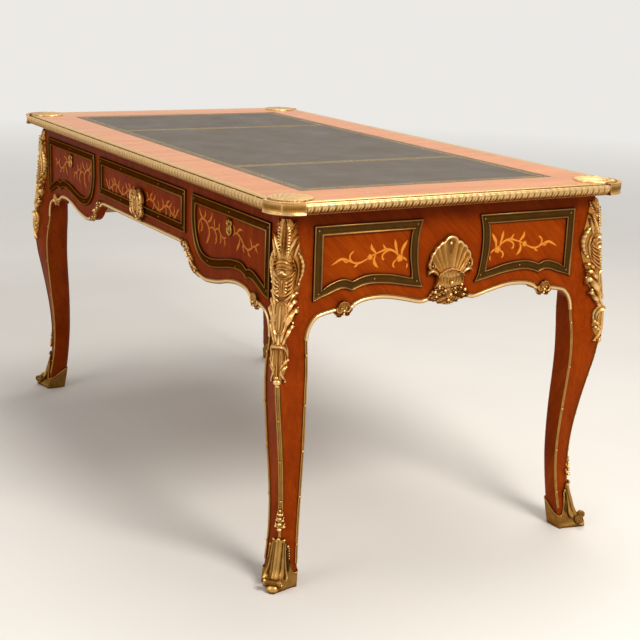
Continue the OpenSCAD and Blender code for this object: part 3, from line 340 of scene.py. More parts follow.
class Finish:
    """A material and its nodes, with short ways to add and join them."""

    def __init__(self, name, **sockets):
        self.material = bpy.data.materials.new(name)
        self.material.use_nodes = True
        self.tree = self.material.node_tree
        self.shader = self.tree.nodes["Principled BSDF"]
        for key, value in sockets.items():
            self.shader.inputs[key.replace("_", " ")].default_value = value

    def node(self, kind, inputs=(), **settings):
        made = self.tree.nodes.new("ShaderNode" + kind)
        for key, value in settings.items():
            setattr(made, key, value)
        for key, value in dict(inputs).items():
            if isinstance(value, bpy.types.NodeSocket):
                self.tree.links.new(value, made.inputs[key])
            else:
                made.inputs[key].default_value = value
        return made

    def place(self, turn=(0, 0, 0), size=(1, 1, 1)):
        """Object coordinates, turned and stretched."""
        at = self.node("TexCoord").outputs["Object"]
        turned = self.node("Mapping", {"Vector": at, "Rotation": turn})
        return self.node("Mapping", {"Vector": turned.outputs[0], "Scale": size}).outputs[0]

    def noise(self, at, scale, detail, rough):
        made = self.node("TexNoise", {"Vector": at, "Scale": scale, "Detail": detail,
                                      "Roughness": rough})
        return made.outputs["Fac"]

    def ramp(self, value, *stops):
        made = self.node("ValToRGB", {"Fac": value})
        colours = made.color_ramp.elements
        while len(colours) < len(stops):
            colours.new(0.5)
        for stop, (place, colour) in zip(colours, stops):
            stop.position = place
            stop.color = (*colour, 1)
        return made.outputs["Color"]

    def level(self, value, low, high, out_low, out_high):
        return self.node("MapRange", {"Value": value, "From Min": low, "From Max": high,
                                      "To Min": out_low, "To Max": out_high}).outputs[0]

    def mix(self, share, a, b, blend="MIX"):
        made = self.node("Mix", data_type="RGBA", blend_type=blend)
        for key, value in (("Factor", share), ("A", a), ("B", b)):
            socket = [s for s in made.inputs if s.name == key and s.enabled][0]
            if isinstance(value, bpy.types.NodeSocket):
                self.tree.links.new(value, socket)
            else:
                socket.default_value = value if key == "Factor" else (*value, 1)
        return [s for s in made.outputs if s.enabled][0]

    def join(self, value, socket):
        self.tree.links.new(value, self.shader.inputs[socket])

    def bump(self, height, strength, distance):
        made = self.node("Bump", {"Height": height, "Strength": strength, "Distance": distance})
        self.join(made.outputs[0], "Normal")


def veneer(name, turn, dark, mid, light, coat=0.15, shade=0.0):
    """Polished veneer: stripes and pores drawn out along X, turned to the way the grain runs. Painted
    shade darkens it by a share where other pieces close in on it, as under the rim and the mounts."""
    f = Finish(name, Roughness=0.3, Specular_IOR_Level=0.6 * coat, Coat_Weight=coat,
               Coat_Roughness=0.06)
    broad = f.noise(f.place(turn, (1.1, 8, 8)), 2.7, 3, 0.6)
    band = f.noise(f.place(turn, (3.2, 62, 62)), 2.2, 3, 0.62)
    fibre = f.noise(f.place(turn, (12, 260, 260)), 3.2, 5, 0.7)
    tone = f.mix(0.38, broad, band)
    tone = f.mix(0.34, tone, fibre)
    wood = f.ramp(tone, (0.30, dark), (0.49, mid), (0.70, light))
    pores = f.ramp(fibre, (0.30, (0.66, 0.55, 0.50)), (0.43, (1, 1, 1)))
    wood = f.mix(1.0, wood, pores, "MULTIPLY")
    # painted shade: ambient occlusion darkens the wood under the rim and beside the mounts, as their
    # shadow
    if shade:
        air = f.node("AmbientOcclusion", {"Distance": 0.075}, samples=6).outputs["AO"]
        dim = 1 - shade
        near = f.ramp(air, (0.35, (dim, dim * 0.85, dim * 0.7)), (0.95, (1, 1, 1)))
        wood = f.mix(1.0, wood, near, "MULTIPLY")
    f.join(wood, "Base Color")
    f.join(f.level(fibre, 0.3, 0.7, 0.36, 0.25), "Roughness")
    f.bump(fibre, 0.05, 0.0003)
    return f.material


def plain_wood(name, turn, dark, light):
    f = Finish(name, Roughness=0.6, Specular_IOR_Level=0.3)
    grain = f.noise(f.place(turn, (2, 60, 60)), 2.5, 5, 0.65)
    rings = f.noise(f.place(turn, (0.6, 14, 14)), 2.0, 2, 0.5)
    f.join(f.ramp(f.mix(0.5, grain, rings), (0.32, dark), (0.68, light)), "Base Color")
    f.bump(grain, 0.15, 0.0006)
    return f.material


def bronze(name, dark, mid, light, edge, rough):
    """Cast bronze: dark in the hollows, bright on what stands proud, by the relief attribute and
    by how far nearby metal closes in on a point. The relief gives partly patina and burnish and
    partly painted shade and painted highlight; the closing in of nearby metal is painted shade. Edge
    is the colour it takes at a low angle."""
    f = Finish(name, Metallic=1.0, Specular_Tint=(*edge, 1))
    proud = f.node("Attribute", attribute_name="relief").outputs["Fac"]
    # painted shade: ambient occlusion darkens the metal where nearby metal closes in
    open_air = f.node("AmbientOcclusion", {"Distance": 0.007}, samples=4).outputs["AO"]
    at = f.place()
    cloud = f.noise(at, 55, 4, 0.6)
    grime = f.noise(at, 420, 3, 0.6)
    # wear and patina, mixed with painted shade in the hollows and painted highlight on the crests
    wear_shade_and_highlight = f.mix(0.32, proud, cloud)
    wear_shade_and_highlight = f.mix(0.16, wear_shade_and_highlight, grime)
    wear_shade_and_highlight = f.mix(1.0, wear_shade_and_highlight, f.level(open_air, 0.2, 0.85, 0.45, 1.0), "MULTIPLY")
    f.join(f.ramp(wear_shade_and_highlight, (0.10, dark), (0.42, mid), (0.80, light)), "Base Color")
    f.join(f.level(wear_shade_and_highlight, 0.1, 0.75, rough[0], rough[1]), "Roughness")
    f.bump(grime, 0.12, 0.0004)
    return f.material


WOOD = (0.125, 0.0135, 0.0003), (0.225, 0.029, 0.0005), (0.34, 0.056, 0.0012)
DIAGONAL = math.radians(45)
front_veneer = veneer("front_veneer", (0, math.radians(90), 0), (0.115, 0.011, 0.0003),
                      (0.21, 0.0245, 0.0004), (0.33, 0.050, 0.001), 0.015, 0.6)
end_veneer = veneer("end_veneer", (DIAGONAL, 0, math.radians(90)), *WOOD, 0.03, 0.8)
leg_veneer = veneer("leg_veneer", (0, math.radians(62), math.radians(12)), *WOOD, 0.03, 0.5)
top_veneer = veneer("top_veneer", (0, 0, math.radians(90)), (0.38, 0.115, 0.035),
                    (0.56, 0.20, 0.056), (0.70, 0.28, 0.085))
drawer_wood = plain_wood("drawer_wood", (0, 0, math.radians(90)), (0.30, 0.18, 0.085),
                         (0.52, 0.36, 0.20))
gilt = bronze("gilt_bronze", (0.085, 0.034, 0.005), (0.40, 0.20, 0.045), (0.82, 0.56, 0.27),
              (1, 0.92, 0.78), (0.52, 0.30))
chased_gilt = bronze("chased_gilding", (0.17, 0.072, 0.013), (0.40, 0.185, 0.040),
                     (0.86, 0.55, 0.22), (1, 0.88, 0.70), (0.50, 0.34))
worn_gilt = bronze("worn_gilding", (0.055, 0.022, 0.003), (0.165, 0.070, 0.011), (0.60, 0.34, 0.10),
                   (0.9, 0.72, 0.5), (0.52, 0.32))
brass = bronze("dark_brass", (0.028, 0.012, 0.002), (0.092, 0.042, 0.009), (0.30, 0.16, 0.05),
               (0.50, 0.34, 0.19), (0.46, 0.34))


def leather_finish():
    f = Finish("dark_leather", Roughness=0.45, Specular_IOR_Level=0.36,
               Specular_Tint=(1, 0.71, 0.45, 1))
    at = f.place()
    cells = f.node("TexVoronoi", {"Vector": at, "Scale": 700.0}).outputs["Distance"]
    cloud = f.noise(at, 9, 4, 0.6)
    f.join(f.ramp(cloud, (0.3, (0.030, 0.020, 0.010)), (0.7, (0.050, 0.033, 0.017))), "Base Color")
    f.join(f.level(cloud, 0.3, 0.7, 0.36, 0.50), "Roughness")
    f.bump(cells, 0.25, 0.0003)
    return f.material


def gold_leaf_finish():
    f = Finish("gold_tooling", Metallic=0.9)
    rub = f.noise(f.place(), 260, 3, 0.6)
    f.join(f.ramp(rub, (0.34, (0.20, 0.13, 0.05)), (0.6, (0.80, 0.60, 0.28))), "Base Color")
    f.join(f.level(rub, 0.3, 0.7, 0.5, 0.34), "Roughness")
    return f.material


def steel_finish():
    f = Finish("lock_steel", Metallic=0.9, Roughness=0.4)
    brushed = f.noise(f.place(size=(30, 30, 400)), 3, 4, 0.6)
    f.join(f.ramp(brushed, (0.3, (0.22, 0.21, 0.19)), (0.7, (0.46, 0.45, 0.42))), "Base Color")
    return f.material


def inlay_finish(name, dark, mid, light):
    """Fruitwood cut to shape and scorched at its edges, by the relief attribute."""
    f = Finish(name, Roughness=0.45, Specular_IOR_Level=0.05)
    heat = f.node("Attribute", attribute_name="relief").outputs["Fac"]
    grain = f.noise(f.place(size=(60, 60, 14)), 6, 3, 0.6)
    tone = f.mix(0.3, heat, grain)
    f.join(f.ramp(tone, (0.15, dark), (0.48, mid), (0.82, light)), "Base Color")
    return f.material


leather = leather_finish()
gold_leaf = gold_leaf_finish()
steel = steel_finish()
end_inlay = inlay_finish("inlaid_fruitwood", (0.24, 0.048, 0.004), (0.50, 0.14, 0.012),
                         (0.66, 0.235, 0.028))
long_inlay = inlay_finish("stained_fruitwood", (0.22, 0.040, 0.003), (0.44, 0.105, 0.008),
                          (0.58, 0.17, 0.016))


# Solids that keep their own shape

SLOT_FINISH = {"gilt_bronze": gilt, "dark_brass": brass, "leather": leather, "steel": steel,
               "drawer_wood": drawer_wood, "veneer": front_veneer}
NODE_FINISH = {"apron_left": end_veneer, "apron_right": end_veneer, "top_board": top_veneer}
slot_of = {part["node"]: part["material_slot"] for part in frame["record"]["subparts"]}
for name, solid in frame["nodes"].items():
    solid.data.materials.clear()
    solid.data.materials.append(NODE_FINISH.get(name, SLOT_FINISH[slot_of[name]]))


# Legs


def rounded(ring, r):
    """A polygon, as (rings, points, 2), with each corner cut to an arc of about radius r."""
    before, after = np.roll(ring, 1, 1), np.roll(ring, -1, 1)
    p, q = ring + r * unit(before - ring), ring + r * unit(after - ring)
    middle = 0.25 * p + 0.5 * ring + 0.25 * q
    return np.stack([p, middle, q], 2).reshape(len(ring), -1, 2)


def leg_section(z, out=0.0, toe=0.0):
    """The eight points round a leg at each height, drawn out, and further at the outer corner."""
    s = leg_at(z)
    x0, y0 = LEG_X + s[:, 0] - out, LEG_Y + s[:, 0] - out
    xa, ya = FX + s[:, 1] + out + toe, FY + s[:, 1] + out + toe
    xe, ye = FX + s[:, 2] + out, FY + s[:, 2] + out
    b, m, c = ARRIS_CUT, LEG_MARGIN, INNER_CUT
    return np.stack([
        np.stack(p, -1) for p in (
            (x0 + c, y0), (xe, y0), (xe, y0 + m), (xa, ya - b), (xa - b, ya), (x0 + m, ye),
            (x0, ye), (x0, y0 + c)
        )
    ], 1)


def make_legs():
    z = np.concatenate([np.linspace(LEG_FOOT, LEG_Z, 90), np.linspace(LEG_Z, FRAME_TOP, 30)[1:]])
    soft = np.full((len(z), 8, 1), 1.6)
    soft[:, [1, 6]] = np.where(z > LEG_Z - 2, 0.05, 1.6)[:, None, None]
    ring = rounded(leg_section(z), soft)
    rings = np.dstack([ring, np.broadcast_to(z[:, None], ring.shape[:2])]) * MM
    for name, signs in CORNER_SIGNS:
        leg = Casting()
        leg.add(rings * signs)
        leg.cast(f"veneered_leg_{name}", leg_veneer, "desk", "veneer", f"leg_{name}")


make_legs()

# The beads' lines, as in the solids


def below(x, drop):
    return [x, FRAME_TOP - drop]


SCROLL_FALL = 56.0
SCROLL_RUN = 30.0
ARCH_RISE = 24.0
END_RISE = 18.0
LEG_BEND = 19.0
END_BEND = 25.0
SCROLL_X1 = SIDE_X0 + 1.4 * SCROLL_RUN
SCROLL_DROP = KNEE_DROP + SCROLL_FALL
ARCH = LEG_X - SCROLL_X1
CLASP_X = SCROLL_X1 + 0.81 * ARCH
STEPS = 8
FRONT_PATH = curve([
    below(0, KNEE_DROP), below((MID_X - SCROLL_RUN) / 2, KNEE_DROP),
    below(MID_X - SCROLL_RUN, KNEE_DROP),
    below(MID_X - 0.40 * SCROLL_RUN, KNEE_DROP + 0.03 * SCROLL_FALL),
    below(MID_X + 0.20 * SCROLL_RUN, KNEE_DROP + 0.16 * SCROLL_FALL),
    below(SIDE_X0 - 0.47 * SCROLL_RUN, KNEE_DROP + 0.41 * SCROLL_FALL),
    below(SIDE_X0 + 0.03 * SCROLL_RUN, KNEE_DROP + 0.68 * SCROLL_FALL),
    below(SIDE_X0 + 0.60 * SCROLL_RUN, KNEE_DROP + 0.88 * SCROLL_FALL),
    below(SCROLL_X1, SCROLL_DROP),
    *(below(SCROLL_X1 + x * ARCH, SCROLL_DROP + rise * ARCH_RISE) for x, rise in (
        (0.10, 0.08), (0.27, -0.25), (0.42, -0.75), (0.56, -1), (0.68, -0.88))),
    below(CLASP_X - CLASP_LEN / 2, SCROLL_DROP - 0.42 * ARCH_RISE),
    below(CLASP_X + CLASP_LEN / 2, SCROLL_DROP - 0.19 * ARCH_RISE),
    *(below(LEG_X + x * LEG_BEND, SCROLL_DROP + fall * LEG_BEND) for x, fall in (
        (-1, 0.16), (-0.42, 0.61), (-0.13, 1.11), (0.08, 1.79))),
    [LEG_X + BEAD_OFFSET, LEG_Z]
], STEPS)
SHELL_FOOT = 48.0
BAY = LEG_Y - SHELL_FOOT
END_CLASP_Y = SHELL_FOOT + 0.72 * BAY
END_PATH = curve([
    *(below(SHELL_FOOT + y * BAY, END_DROP + rise * END_RISE) for y, rise in (
        (0, 0.89), (0.07, 1), (0.21, 0.50), (0.34, 0.11), (0.44, 0), (0.55, 0.14), (0.62, 0.50))),
    below(END_CLASP_Y - CLASP_LEN / 2, END_DROP + 0.86 * END_RISE),
    below(END_CLASP_Y + CLASP_LEN / 2, END_DROP + END_RISE),
    *(below(LEG_Y + y * END_BEND, END_DROP + END_RISE + fall * END_BEND) for y, fall in (
        (-1, 0.26), (-0.52, 0.58), (-0.20, 1), (0.02, 1.52))),
    [LEG_Y + BEAD_OFFSET, LEG_Z]
], STEPS)

BEAD = [[-1, 0, 0], [-1, 0.3, 0.5], [-0.78, 0.34, 0.1], [-0.66, 0.62, 0.7], [-0.36, 0.92, 1],
        [0, 1, 1], [0.36, 0.92, 1], [0.66, 0.62, 0.7], [0.78, 0.34, 0.1], [1, 0.3, 0.5], [1, 0, 0]]


def span(path, start, end):
    """A path from one of its given points to another."""
    return path[start * STEPS:end * STEPS + 1]


def make_beads():
    knee = span(FRONT_PATH, 0, 2).tolist()
    for name, place, path, spans in (
        ("front", on_front, FRONT_PATH, ((8, 14), (15, 20))),
        ("back", on_back, FRONT_PATH, ((8, 14), (15, 20))),
        ("right", on_right, END_PATH, ((0, 7), (8, 13))),
        ("left", on_left, END_PATH, ((0, 7), (8, 13)))
    ):
        bead = Casting()
        if path is FRONT_PATH:
            bead.each([place], *stroke(mirrored(knee), 4.5, 4.6, BEAD, steps=1))
        for ends in spans:
            bead.each(both_ways([place]), *stroke(span(path, *ends), 4.5, 4.6, BEAD, steps=1))
        bead.cast(f"lower_bead_{name}", gilt, "desk", "gilt_bronze", f"bead_{name}")


make_beads()


# Frames round the drawers and panels: rows of position, drop, and the way inwards

SIDE_H = KNEE_DROP + 25.5 - DRAWER_DROP
SIDE_INNER = [
    [SIDE_X0, DRAWER_DROP, 1, -1], [SIDE_X0 - 3, DRAWER_DROP + 0.25 * SIDE_H, 1, 0],
    [SIDE_X0 + 1, DRAWER_DROP + 0.52 * SIDE_H, 1, 0.1],
    [SIDE_X0 + 18, DRAWER_DROP + 0.79 * SIDE_H, 0.85, 0.5],
    [SIDE_X0 + 48, DRAWER_DROP + 0.95 * SIDE_H, 0.45, 0.85],
    [SIDE_X0 + 0.25 * SIDE_LEN, KNEE_DROP + 25.5, 0, 1],
    [SIDE_X0 + 0.374 * SIDE_LEN, KNEE_DROP + 19.5, 0, 1],
    [SIDE_X0 + 0.511 * SIDE_LEN, KNEE_DROP + 9, 0, 1],
    [SIDE_X0 + 0.635 * SIDE_LEN, KNEE_DROP + 4.5, 0, 1],
    [SIDE_X0 + 0.693 * SIDE_LEN, KNEE_DROP + 8, 0, 1],
    [SIDE_X0 + 0.726 * SIDE_LEN, KNEE_DROP + 14, 0, 1]
]
SIDE_OUTER = [
    [SIDE_X0 + 0.726 * SIDE_LEN, KNEE_DROP + 14, 0, 1],
    [SIDE_X0 + 0.764 * SIDE_LEN, KNEE_DROP + 10.5, 0, 1],
    [SIDE_X0 + 0.814 * SIDE_LEN, KNEE_DROP + 12, 0, 1],
    [SIDE_X0 + 0.874 * SIDE_LEN, KNEE_DROP + 20, 0, 1],
    [SIDE_X0 + 0.937 * SIDE_LEN, KNEE_DROP + 29.5, 0, 1],
    [SIDE_X1, KNEE_DROP + 33.5, -1, 1.1]
]
END_FRAME_Y1 = LEG_Y - 8
END_FRAME_LEN = END_FRAME_Y1 - BAY_W
END_INNER = [
    [BAY_W, DRAWER_DROP, 1, -1], [BAY_W + 6, DRAWER_DROP + 25, 1, 0],
    [BAY_W + 8.5, DRAWER_DROP + 54, 1, 0], [BAY_W + 7, END_DROP - 63, 1, 0.3],
    [BAY_W + 1, END_DROP - 27, 1.1, 1], [BAY_W - 7, END_DROP - 10.5, 1.5, 1.15]
]
END_LOWER = [
    [BAY_W - 7, END_DROP - 10.5, 1.5, 1.15],
    [BAY_W + 0.13 * END_FRAME_LEN, END_DROP - 17.5, 0.4, 1],
    [BAY_W + 0.30 * END_FRAME_LEN, END_DROP - 25, 0, 1],
    [BAY_W + 0.46 * END_FRAME_LEN, END_DROP - 28, 0, 1],
    [BAY_W + 0.56 * END_FRAME_LEN, END_DROP - 25, 0, 1],
    [BAY_W + 0.645 * END_FRAME_LEN, END_DROP - 18, 0, 1]
]
END_OUTER = [
    [BAY_W + 0.645 * END_FRAME_LEN, END_DROP - 18, 0, 1],
    [BAY_W + 0.71 * END_FRAME_LEN, END_DROP - 23.5, 0, 1],
    [BAY_W + 0.78 * END_FRAME_LEN, END_DROP - 22, 0, 1],
    [BAY_W + 0.86 * END_FRAME_LEN, END_DROP - 15, 0, 1],
    [BAY_W + 0.94 * END_FRAME_LEN, END_DROP - 9.5, -0.45, 0.95],
    [END_FRAME_Y1, END_DROP - 3.5, -1, 1.1]
]
MID_ROWS = [[-MID_X, KNEE_DROP - RAIL_H, 1, 1], [MID_X, KNEE_DROP - RAIL_H, -1, 1],
            [MID_X, DRAWER_DROP, -1, -1], [-MID_X, DRAWER_DROP, 1, -1]]
SIDE_ROWS = np.vstack([curve(SIDE_INNER, 6)[:-1], curve(SIDE_OUTER, 6),
                       [[SIDE_X1, DRAWER_DROP, -1, -1]]])
END_ROWS = np.vstack([curve(END_INNER, 6)[:-1], curve(END_LOWER, 6)[:-1], curve(END_OUTER, 6),
                      [[END_FRAME_Y1, DRAWER_DROP, -1, -1]]])
# Across a frame: distance from its outer edge, height, relief
FRAME_SECTION = np.array([
    [0, 0, 0], [0, 3.9, 0.5], [0.5, 4.7, 0.95], [1.5, 5, 1], [2.4, 4.7, 0.9], [3.0, 3.5, 0.15],
    [4.4, 2.9, 0.1], [9.5, 2.5, 0.3], [14.6, 2.9, 0.1], [16, 3.5, 0.15], [16.6, 4.7, 0.9],
    [17.5, 5, 1], [18.5, 4.7, 0.95], [19, 3.9, 0.5], [19, 0, 0]
])


def frame_rings(rows):
    """A moulded frame: its outline drawn in, point by point, by each distance of the section."""
    rows = np.asarray(rows, float)
    e, h, relief = FRAME_SECTION.T
    a = rows[:, None, 0] + e * rows[:, None, 2]
    b = FRAME_TOP - rows[:, None, 1] + e * rows[:, None, 3]
    return np.dstack([a, b, np.broadcast_to(h, a.shape)]), np.broadcast_to(relief, a.shape)


def add_frame(cast, places, rows, screws):
    cast.each(places, *frame_rings(rows), loop=True)
    cast.balls(places, [(a, b, 3.0, 2.4) for a, b in screws], 0.55)


SIDE_SCREWS = [[SIDE_X0 + 9, DRAWER_TOP - 9.5], [SIDE_X1 - 9.5, DRAWER_TOP - 9.5],
               [SIDE_MID, DRAWER_TOP - 9.5], [SIDE_X0 + 80, FRAME_TOP - KNEE_DROP - 15.8],
               [SIDE_X1 - 150, FRAME_TOP - KNEE_DROP - 1], [SIDE_X1 - 12, FRAME_TOP - KNEE_DROP - 19]]
MID_SCREWS = [[s * x, z] for s in (-1, 1) for x in (MID_X - 9.5, MID_X / 2 - 16)
              for z in (DRAWER_TOP - 9.5, FRAME_TOP - KNEE_DROP + RAIL_H + 9.5)]
END_SCREWS = [[BAY_W + 12, DRAWER_TOP - 9.5], [END_FRAME_Y1 - 9.5, DRAWER_TOP - 9.5],
              [BAY_W + 8, FRAME_TOP - END_DROP + 24], [END_FRAME_Y1 - 12, FRAME_TOP - END_DROP + 17],
              [BAY_W + 0.44 * END_FRAME_LEN, FRAME_TOP - END_DROP + 37]]


def make_frames():
    drawers = (("left", flipped(on_front), SIDE_ROWS, SIDE_SCREWS),
               ("center", on_front, MID_ROWS, MID_SCREWS),
               ("right", on_front, SIDE_ROWS, SIDE_SCREWS))
    for name, place, rows, screws in drawers:
        moulding = Casting()
        add_frame(moulding, [place], rows, screws)
        moulding.cast(f"moulded_frame_{name}", brass, f"drawer_{name}", "dark_brass",
                      f"drawer_{name}_frame", sharp=50)
    fixed = Casting()
    add_frame(fixed, both_ways([on_back]), SIDE_ROWS, SIDE_SCREWS)
    add_frame(fixed, [on_back], MID_ROWS, MID_SCREWS)
    add_frame(fixed, both_ways(ENDS), END_ROWS, END_SCREWS)
    fixed.cast("moulded_frames_fixed", brass, "desk", "dark_brass", "apron_frames", sharp=50)


make_frames()


# The rim


def rim_rings(length):
    """A rim's moulding: its section carried along u, with a row of leaf tips hanging from its
    shoulder. A tip narrows downwards, with a rib down it, and the gaps between tips are sunk.
    Every second tip stands proud by a cosine of twice the pitch."""
    core = curve([[19.3, -2.3], [22.2, -1.8], [25.2, -3.7], [26.6, -8.0], [25.6, -13.2],
                  [21.8, -17.8], [16.4, -21.2], [13.4, -23.3]], 4)
    pitch = 7.6
    n = max(8, round(length / pitch)) * 8
    u = np.linspace(-length / 2, length / 2, n + 1)[:, None]
    t = np.linspace(0, 1, len(core))[None, :]
    phase = np.abs((u / pitch) % 1 - 0.5) * 2
    low = np.clip((t - 0.40) / 0.50, 0, 1)
    half = 1.10 - 0.36 * low
    inside = np.where(low > 0, np.clip((half - phase) / 0.24, 0, 1), 1.0)
    rib = np.clip(1 - phase / 0.25, 0, 1) * low
    dip = (1.0 - inside) * (0.9 + 1.7 * low)
    second = 0.5 + 0.5 * np.cos(math.pi * u / pitch)
    fade = np.clip(2.2 * t - 0.1, 0, 1)
    fine = 0.12 * np.cos(2 * math.pi * 2 * u / pitch) * np.clip(t * 4, 0, 1) * (1 - low)
    along = np.gradient(core, axis=0)
    out = unit(np.stack([-along[:, 1], along[:, 0]], -1))
    out = out * np.sign(out[len(core) // 2, 0])
    grow = 0.15 - dip + 0.5 * rib + fine + 0.4 * second * fade
    a = core[None, :, 0] + out[None, :, 0] * grow
    b = core[None, :, 1] + out[None, :, 1] * grow
    flat = np.array([[0, -RIM_H], [0, 0], [0.4, 0], [16.0, 0], [16.5, -0.4], [16.8, -3.2],
                     [19.0, -3.2]])
    back = np.broadcast_to(flat[None], (n + 1, len(flat), 2))
    section = np.concatenate([back, np.dstack([a, b])], 1)
    # painted shade and painted highlight: the relief is darker in the gaps between tips, in the
    # groove and over the lower, downward-facing half, and lighter and darker on alternate tips
    relief = np.concatenate([
        np.broadcast_to([0, 0.8, 0.85, 0.85, 0.6, 0, 0], (n + 1, len(flat))),
        np.clip(0.9 * inside + 0.15 * rib + 2 * fine - 0.45 * low
                + (0.5 * second - 0.32) * fade, 0, 1)
    ], 1)
    return section, np.broadcast_to(u, relief.shape), relief


def make_rims():
    for name, edge, length, turn in (
        ("right", RIM_X, 2 * (RIM_Y - CAP_REACH), 0), ("left", RIM_X, 2 * (RIM_Y - CAP_REACH), 2),
        ("back", RIM_Y, 2 * (RIM_X - CAP_REACH), 1), ("front", RIM_Y, 2 * (RIM_X - CAP_REACH), 3)
    ):
        section, u, relief = rim_rings(length)
        out, up = edge - RIM_W + section[..., 0], DESK_H + section[..., 1]
        x, y = [(out, u), (-u, out), (-out, -u), (u, -out)][turn]
        rim = Casting()
        rim.add(MM * np.dstack([x, y, up]), relief)
        for v in np.arange(-length / 2 + 45, length / 2, 90):
            rings, shine = ball(v, 21.5, 0.2, 1.5, 0.7)
            a, b, c = rings[..., 1] + edge - RIM_W, rings[..., 0], rings[..., 2]
            x, y = [(a, b), (-b, a), (-a, -b), (b, -a)][turn]
            rim.add(MM * np.dstack([x, y, DESK_H + c - 1.8]), shine)
        rim.cast(f"leafed_rim_{name}", gilt, "desk", "gilt_bronze", f"rim_{name}")


make_rims()


# Pins and fillets on the legs


def leg_strip(z, a, width, height):
    """A half-round fillet that runs down the leg's sheet at a."""
    path = np.stack([np.broadcast_to(a, z.shape), z], -1)
    return stroke(path, width, height, steps=1)


def make_arris_fillets():
    fillets = Casting()
    z = np.linspace(151, 429, 60)
    for a, half, high in ((0, 5.9, 1.3), (-3.1, 1.6, 3.0), (3.1, 1.6, 3.0), (0, 1.1, 2.0)):
        fillets.each(CORNERS, *leg_strip(z, a, half, high))
    fillets.balls(CORNERS, [(0, level, 2.0, 2.7) for level in (176, 262, 352)], 0.8)
    fillets.cast("corner_fillets", worn_gilt, "desk", "gilt_bronze", "arris_fillets")


LINE_ROUND = [[0.0, -1], [0.8, -0.95], [1, -0.6], [0.72, -0.3], [0.5, -0.1], [0.72, 0.12],
              [1, 0.42], [0.85, 0.85], [0.0, 1]]


def inner_fillet(swap):
    """A double fillet down the inner edge of a leg's outer face, with round-headed pins."""
    z = np.linspace(0.46 * SHOE_H + 2, LEG_Z, 76)
    s = leg_at(z - 1e-6)
    q = np.array(LINE_ROUND)
    x = (FX + s[:, 2] + SEAT_GAP)[:, None] + 2.5 * q[:, 0]
    y = (LEG_Y + s[:, 0] + BEAD_OFFSET)[:, None] + 3 * q[:, 1]
    pins = []
    for level in np.arange(84, LEG_Z, 98):
        t = leg_at(np.array([level]))[0]
        rings, shine = ball(LEG_Y + t[0] + BEAD_OFFSET, level, 2.2, 3.3, 0.85)
        pins.append((np.dstack([FX + t[2] + SEAT_GAP + rings[..., 2], rings[..., 0],
                                rings[..., 1]]), shine))
    parts = [(np.dstack([x, y, np.broadcast_to(z[:, None], x.shape)]),
              np.broadcast_to(0.3 + 0.6 * q[:, 0], x.shape))] + pins
    if swap:
        shift = np.array([LEG_X - LEG_Y, LEG_Y - LEG_X, 0])
        parts = [(p[..., [1, 0, 2]] + shift, r) for p, r in parts]
    return parts


def make_leg_fillets():
    fillets = Casting()
    for swap in (False, True):
        for rings, shine in inner_fillet(swap):
            for signs in FROM_RIGHT:
                fillets.add(MM * rings * signs, shine)
    fillets.cast("double_leg_fillets", worn_gilt, "desk", "gilt_bronze", "leg_fillets")


make_arris_fillets()
make_leg_fillets()

# Castings: leaves, scrolls and shells


def plaque(rows, high, cols, groove=0.0, veins=0.0):
    """A cushion over rows of [a, b, half width, share of height]: a, b runs along its middle. At s
    across, its height is high * share * (0.25 + 0.75 * top), where top = (1 - |s|^3)^0.9, less the
    grooves. Its veins run up and outwards from the middle, a pitch apart."""
    rows = np.asarray(rows, float)
    pitch = 8.0
    s = np.linspace(-1, 1, cols)[None, :]
    top = (1 - np.abs(s) ** 3).clip(0) ** 0.9
    h = high * rows[:, 3:4] * (0.25 + 0.75 * top) - groove * np.cos(4 * math.pi * s) * top
    a = rows[:, :1] + rows[:, 2:3] * s
    b = np.broadcast_to(rows[:, 1:2], a.shape)
    wave = np.cos(2 * math.pi * (b - 1.1 * np.abs(a - rows[:, :1])) / pitch)
    h = h + veins * wave * (1 - s ** 6)
    front = np.dstack([a, b, h])
    back = np.dstack([a, b, np.zeros_like(h)])[:, ::-1]
    shine = 0.3 + 0.2 * top + (0.3 * wave if veins else 0)
    relief = np.concatenate([np.broadcast_to(shine, a.shape).clip(0, 1), 0 * a], 1)
    return np.concatenate([front, back], 1), relief


def table_rows(table, n, key=0):
    """n rows at even steps of a table's key column, smoothly."""
    table = np.roll(np.asarray(table, float), -key, 1)
    rows = smooth(table, np.linspace(table[0, 0], table[-1, 0], n))
    return np.roll(rows, key, 1)


# Knee mounts: height on the leg, half width, share of the cushion's height
KNEE_TABLE = [
    [428, 3, 0.2], [446, 13, 0.5], [464, 21, 0.6], [486, 21, 0.75], [499, 14, 0.8],
    [511, 10, 0.5], [530, 15, 0.5], [549, 24, 0.6], [565, 31, 0.75], [586, 31, 0.7],
    [602, 36, 0.75], [621, 41, 0.9], [646, 42, 1], [671, 37, 0.95], [696, 29, 0.8],
    [715, 24, 0.7], [732, 18, 0.6], [742, 9, 0.35]
]
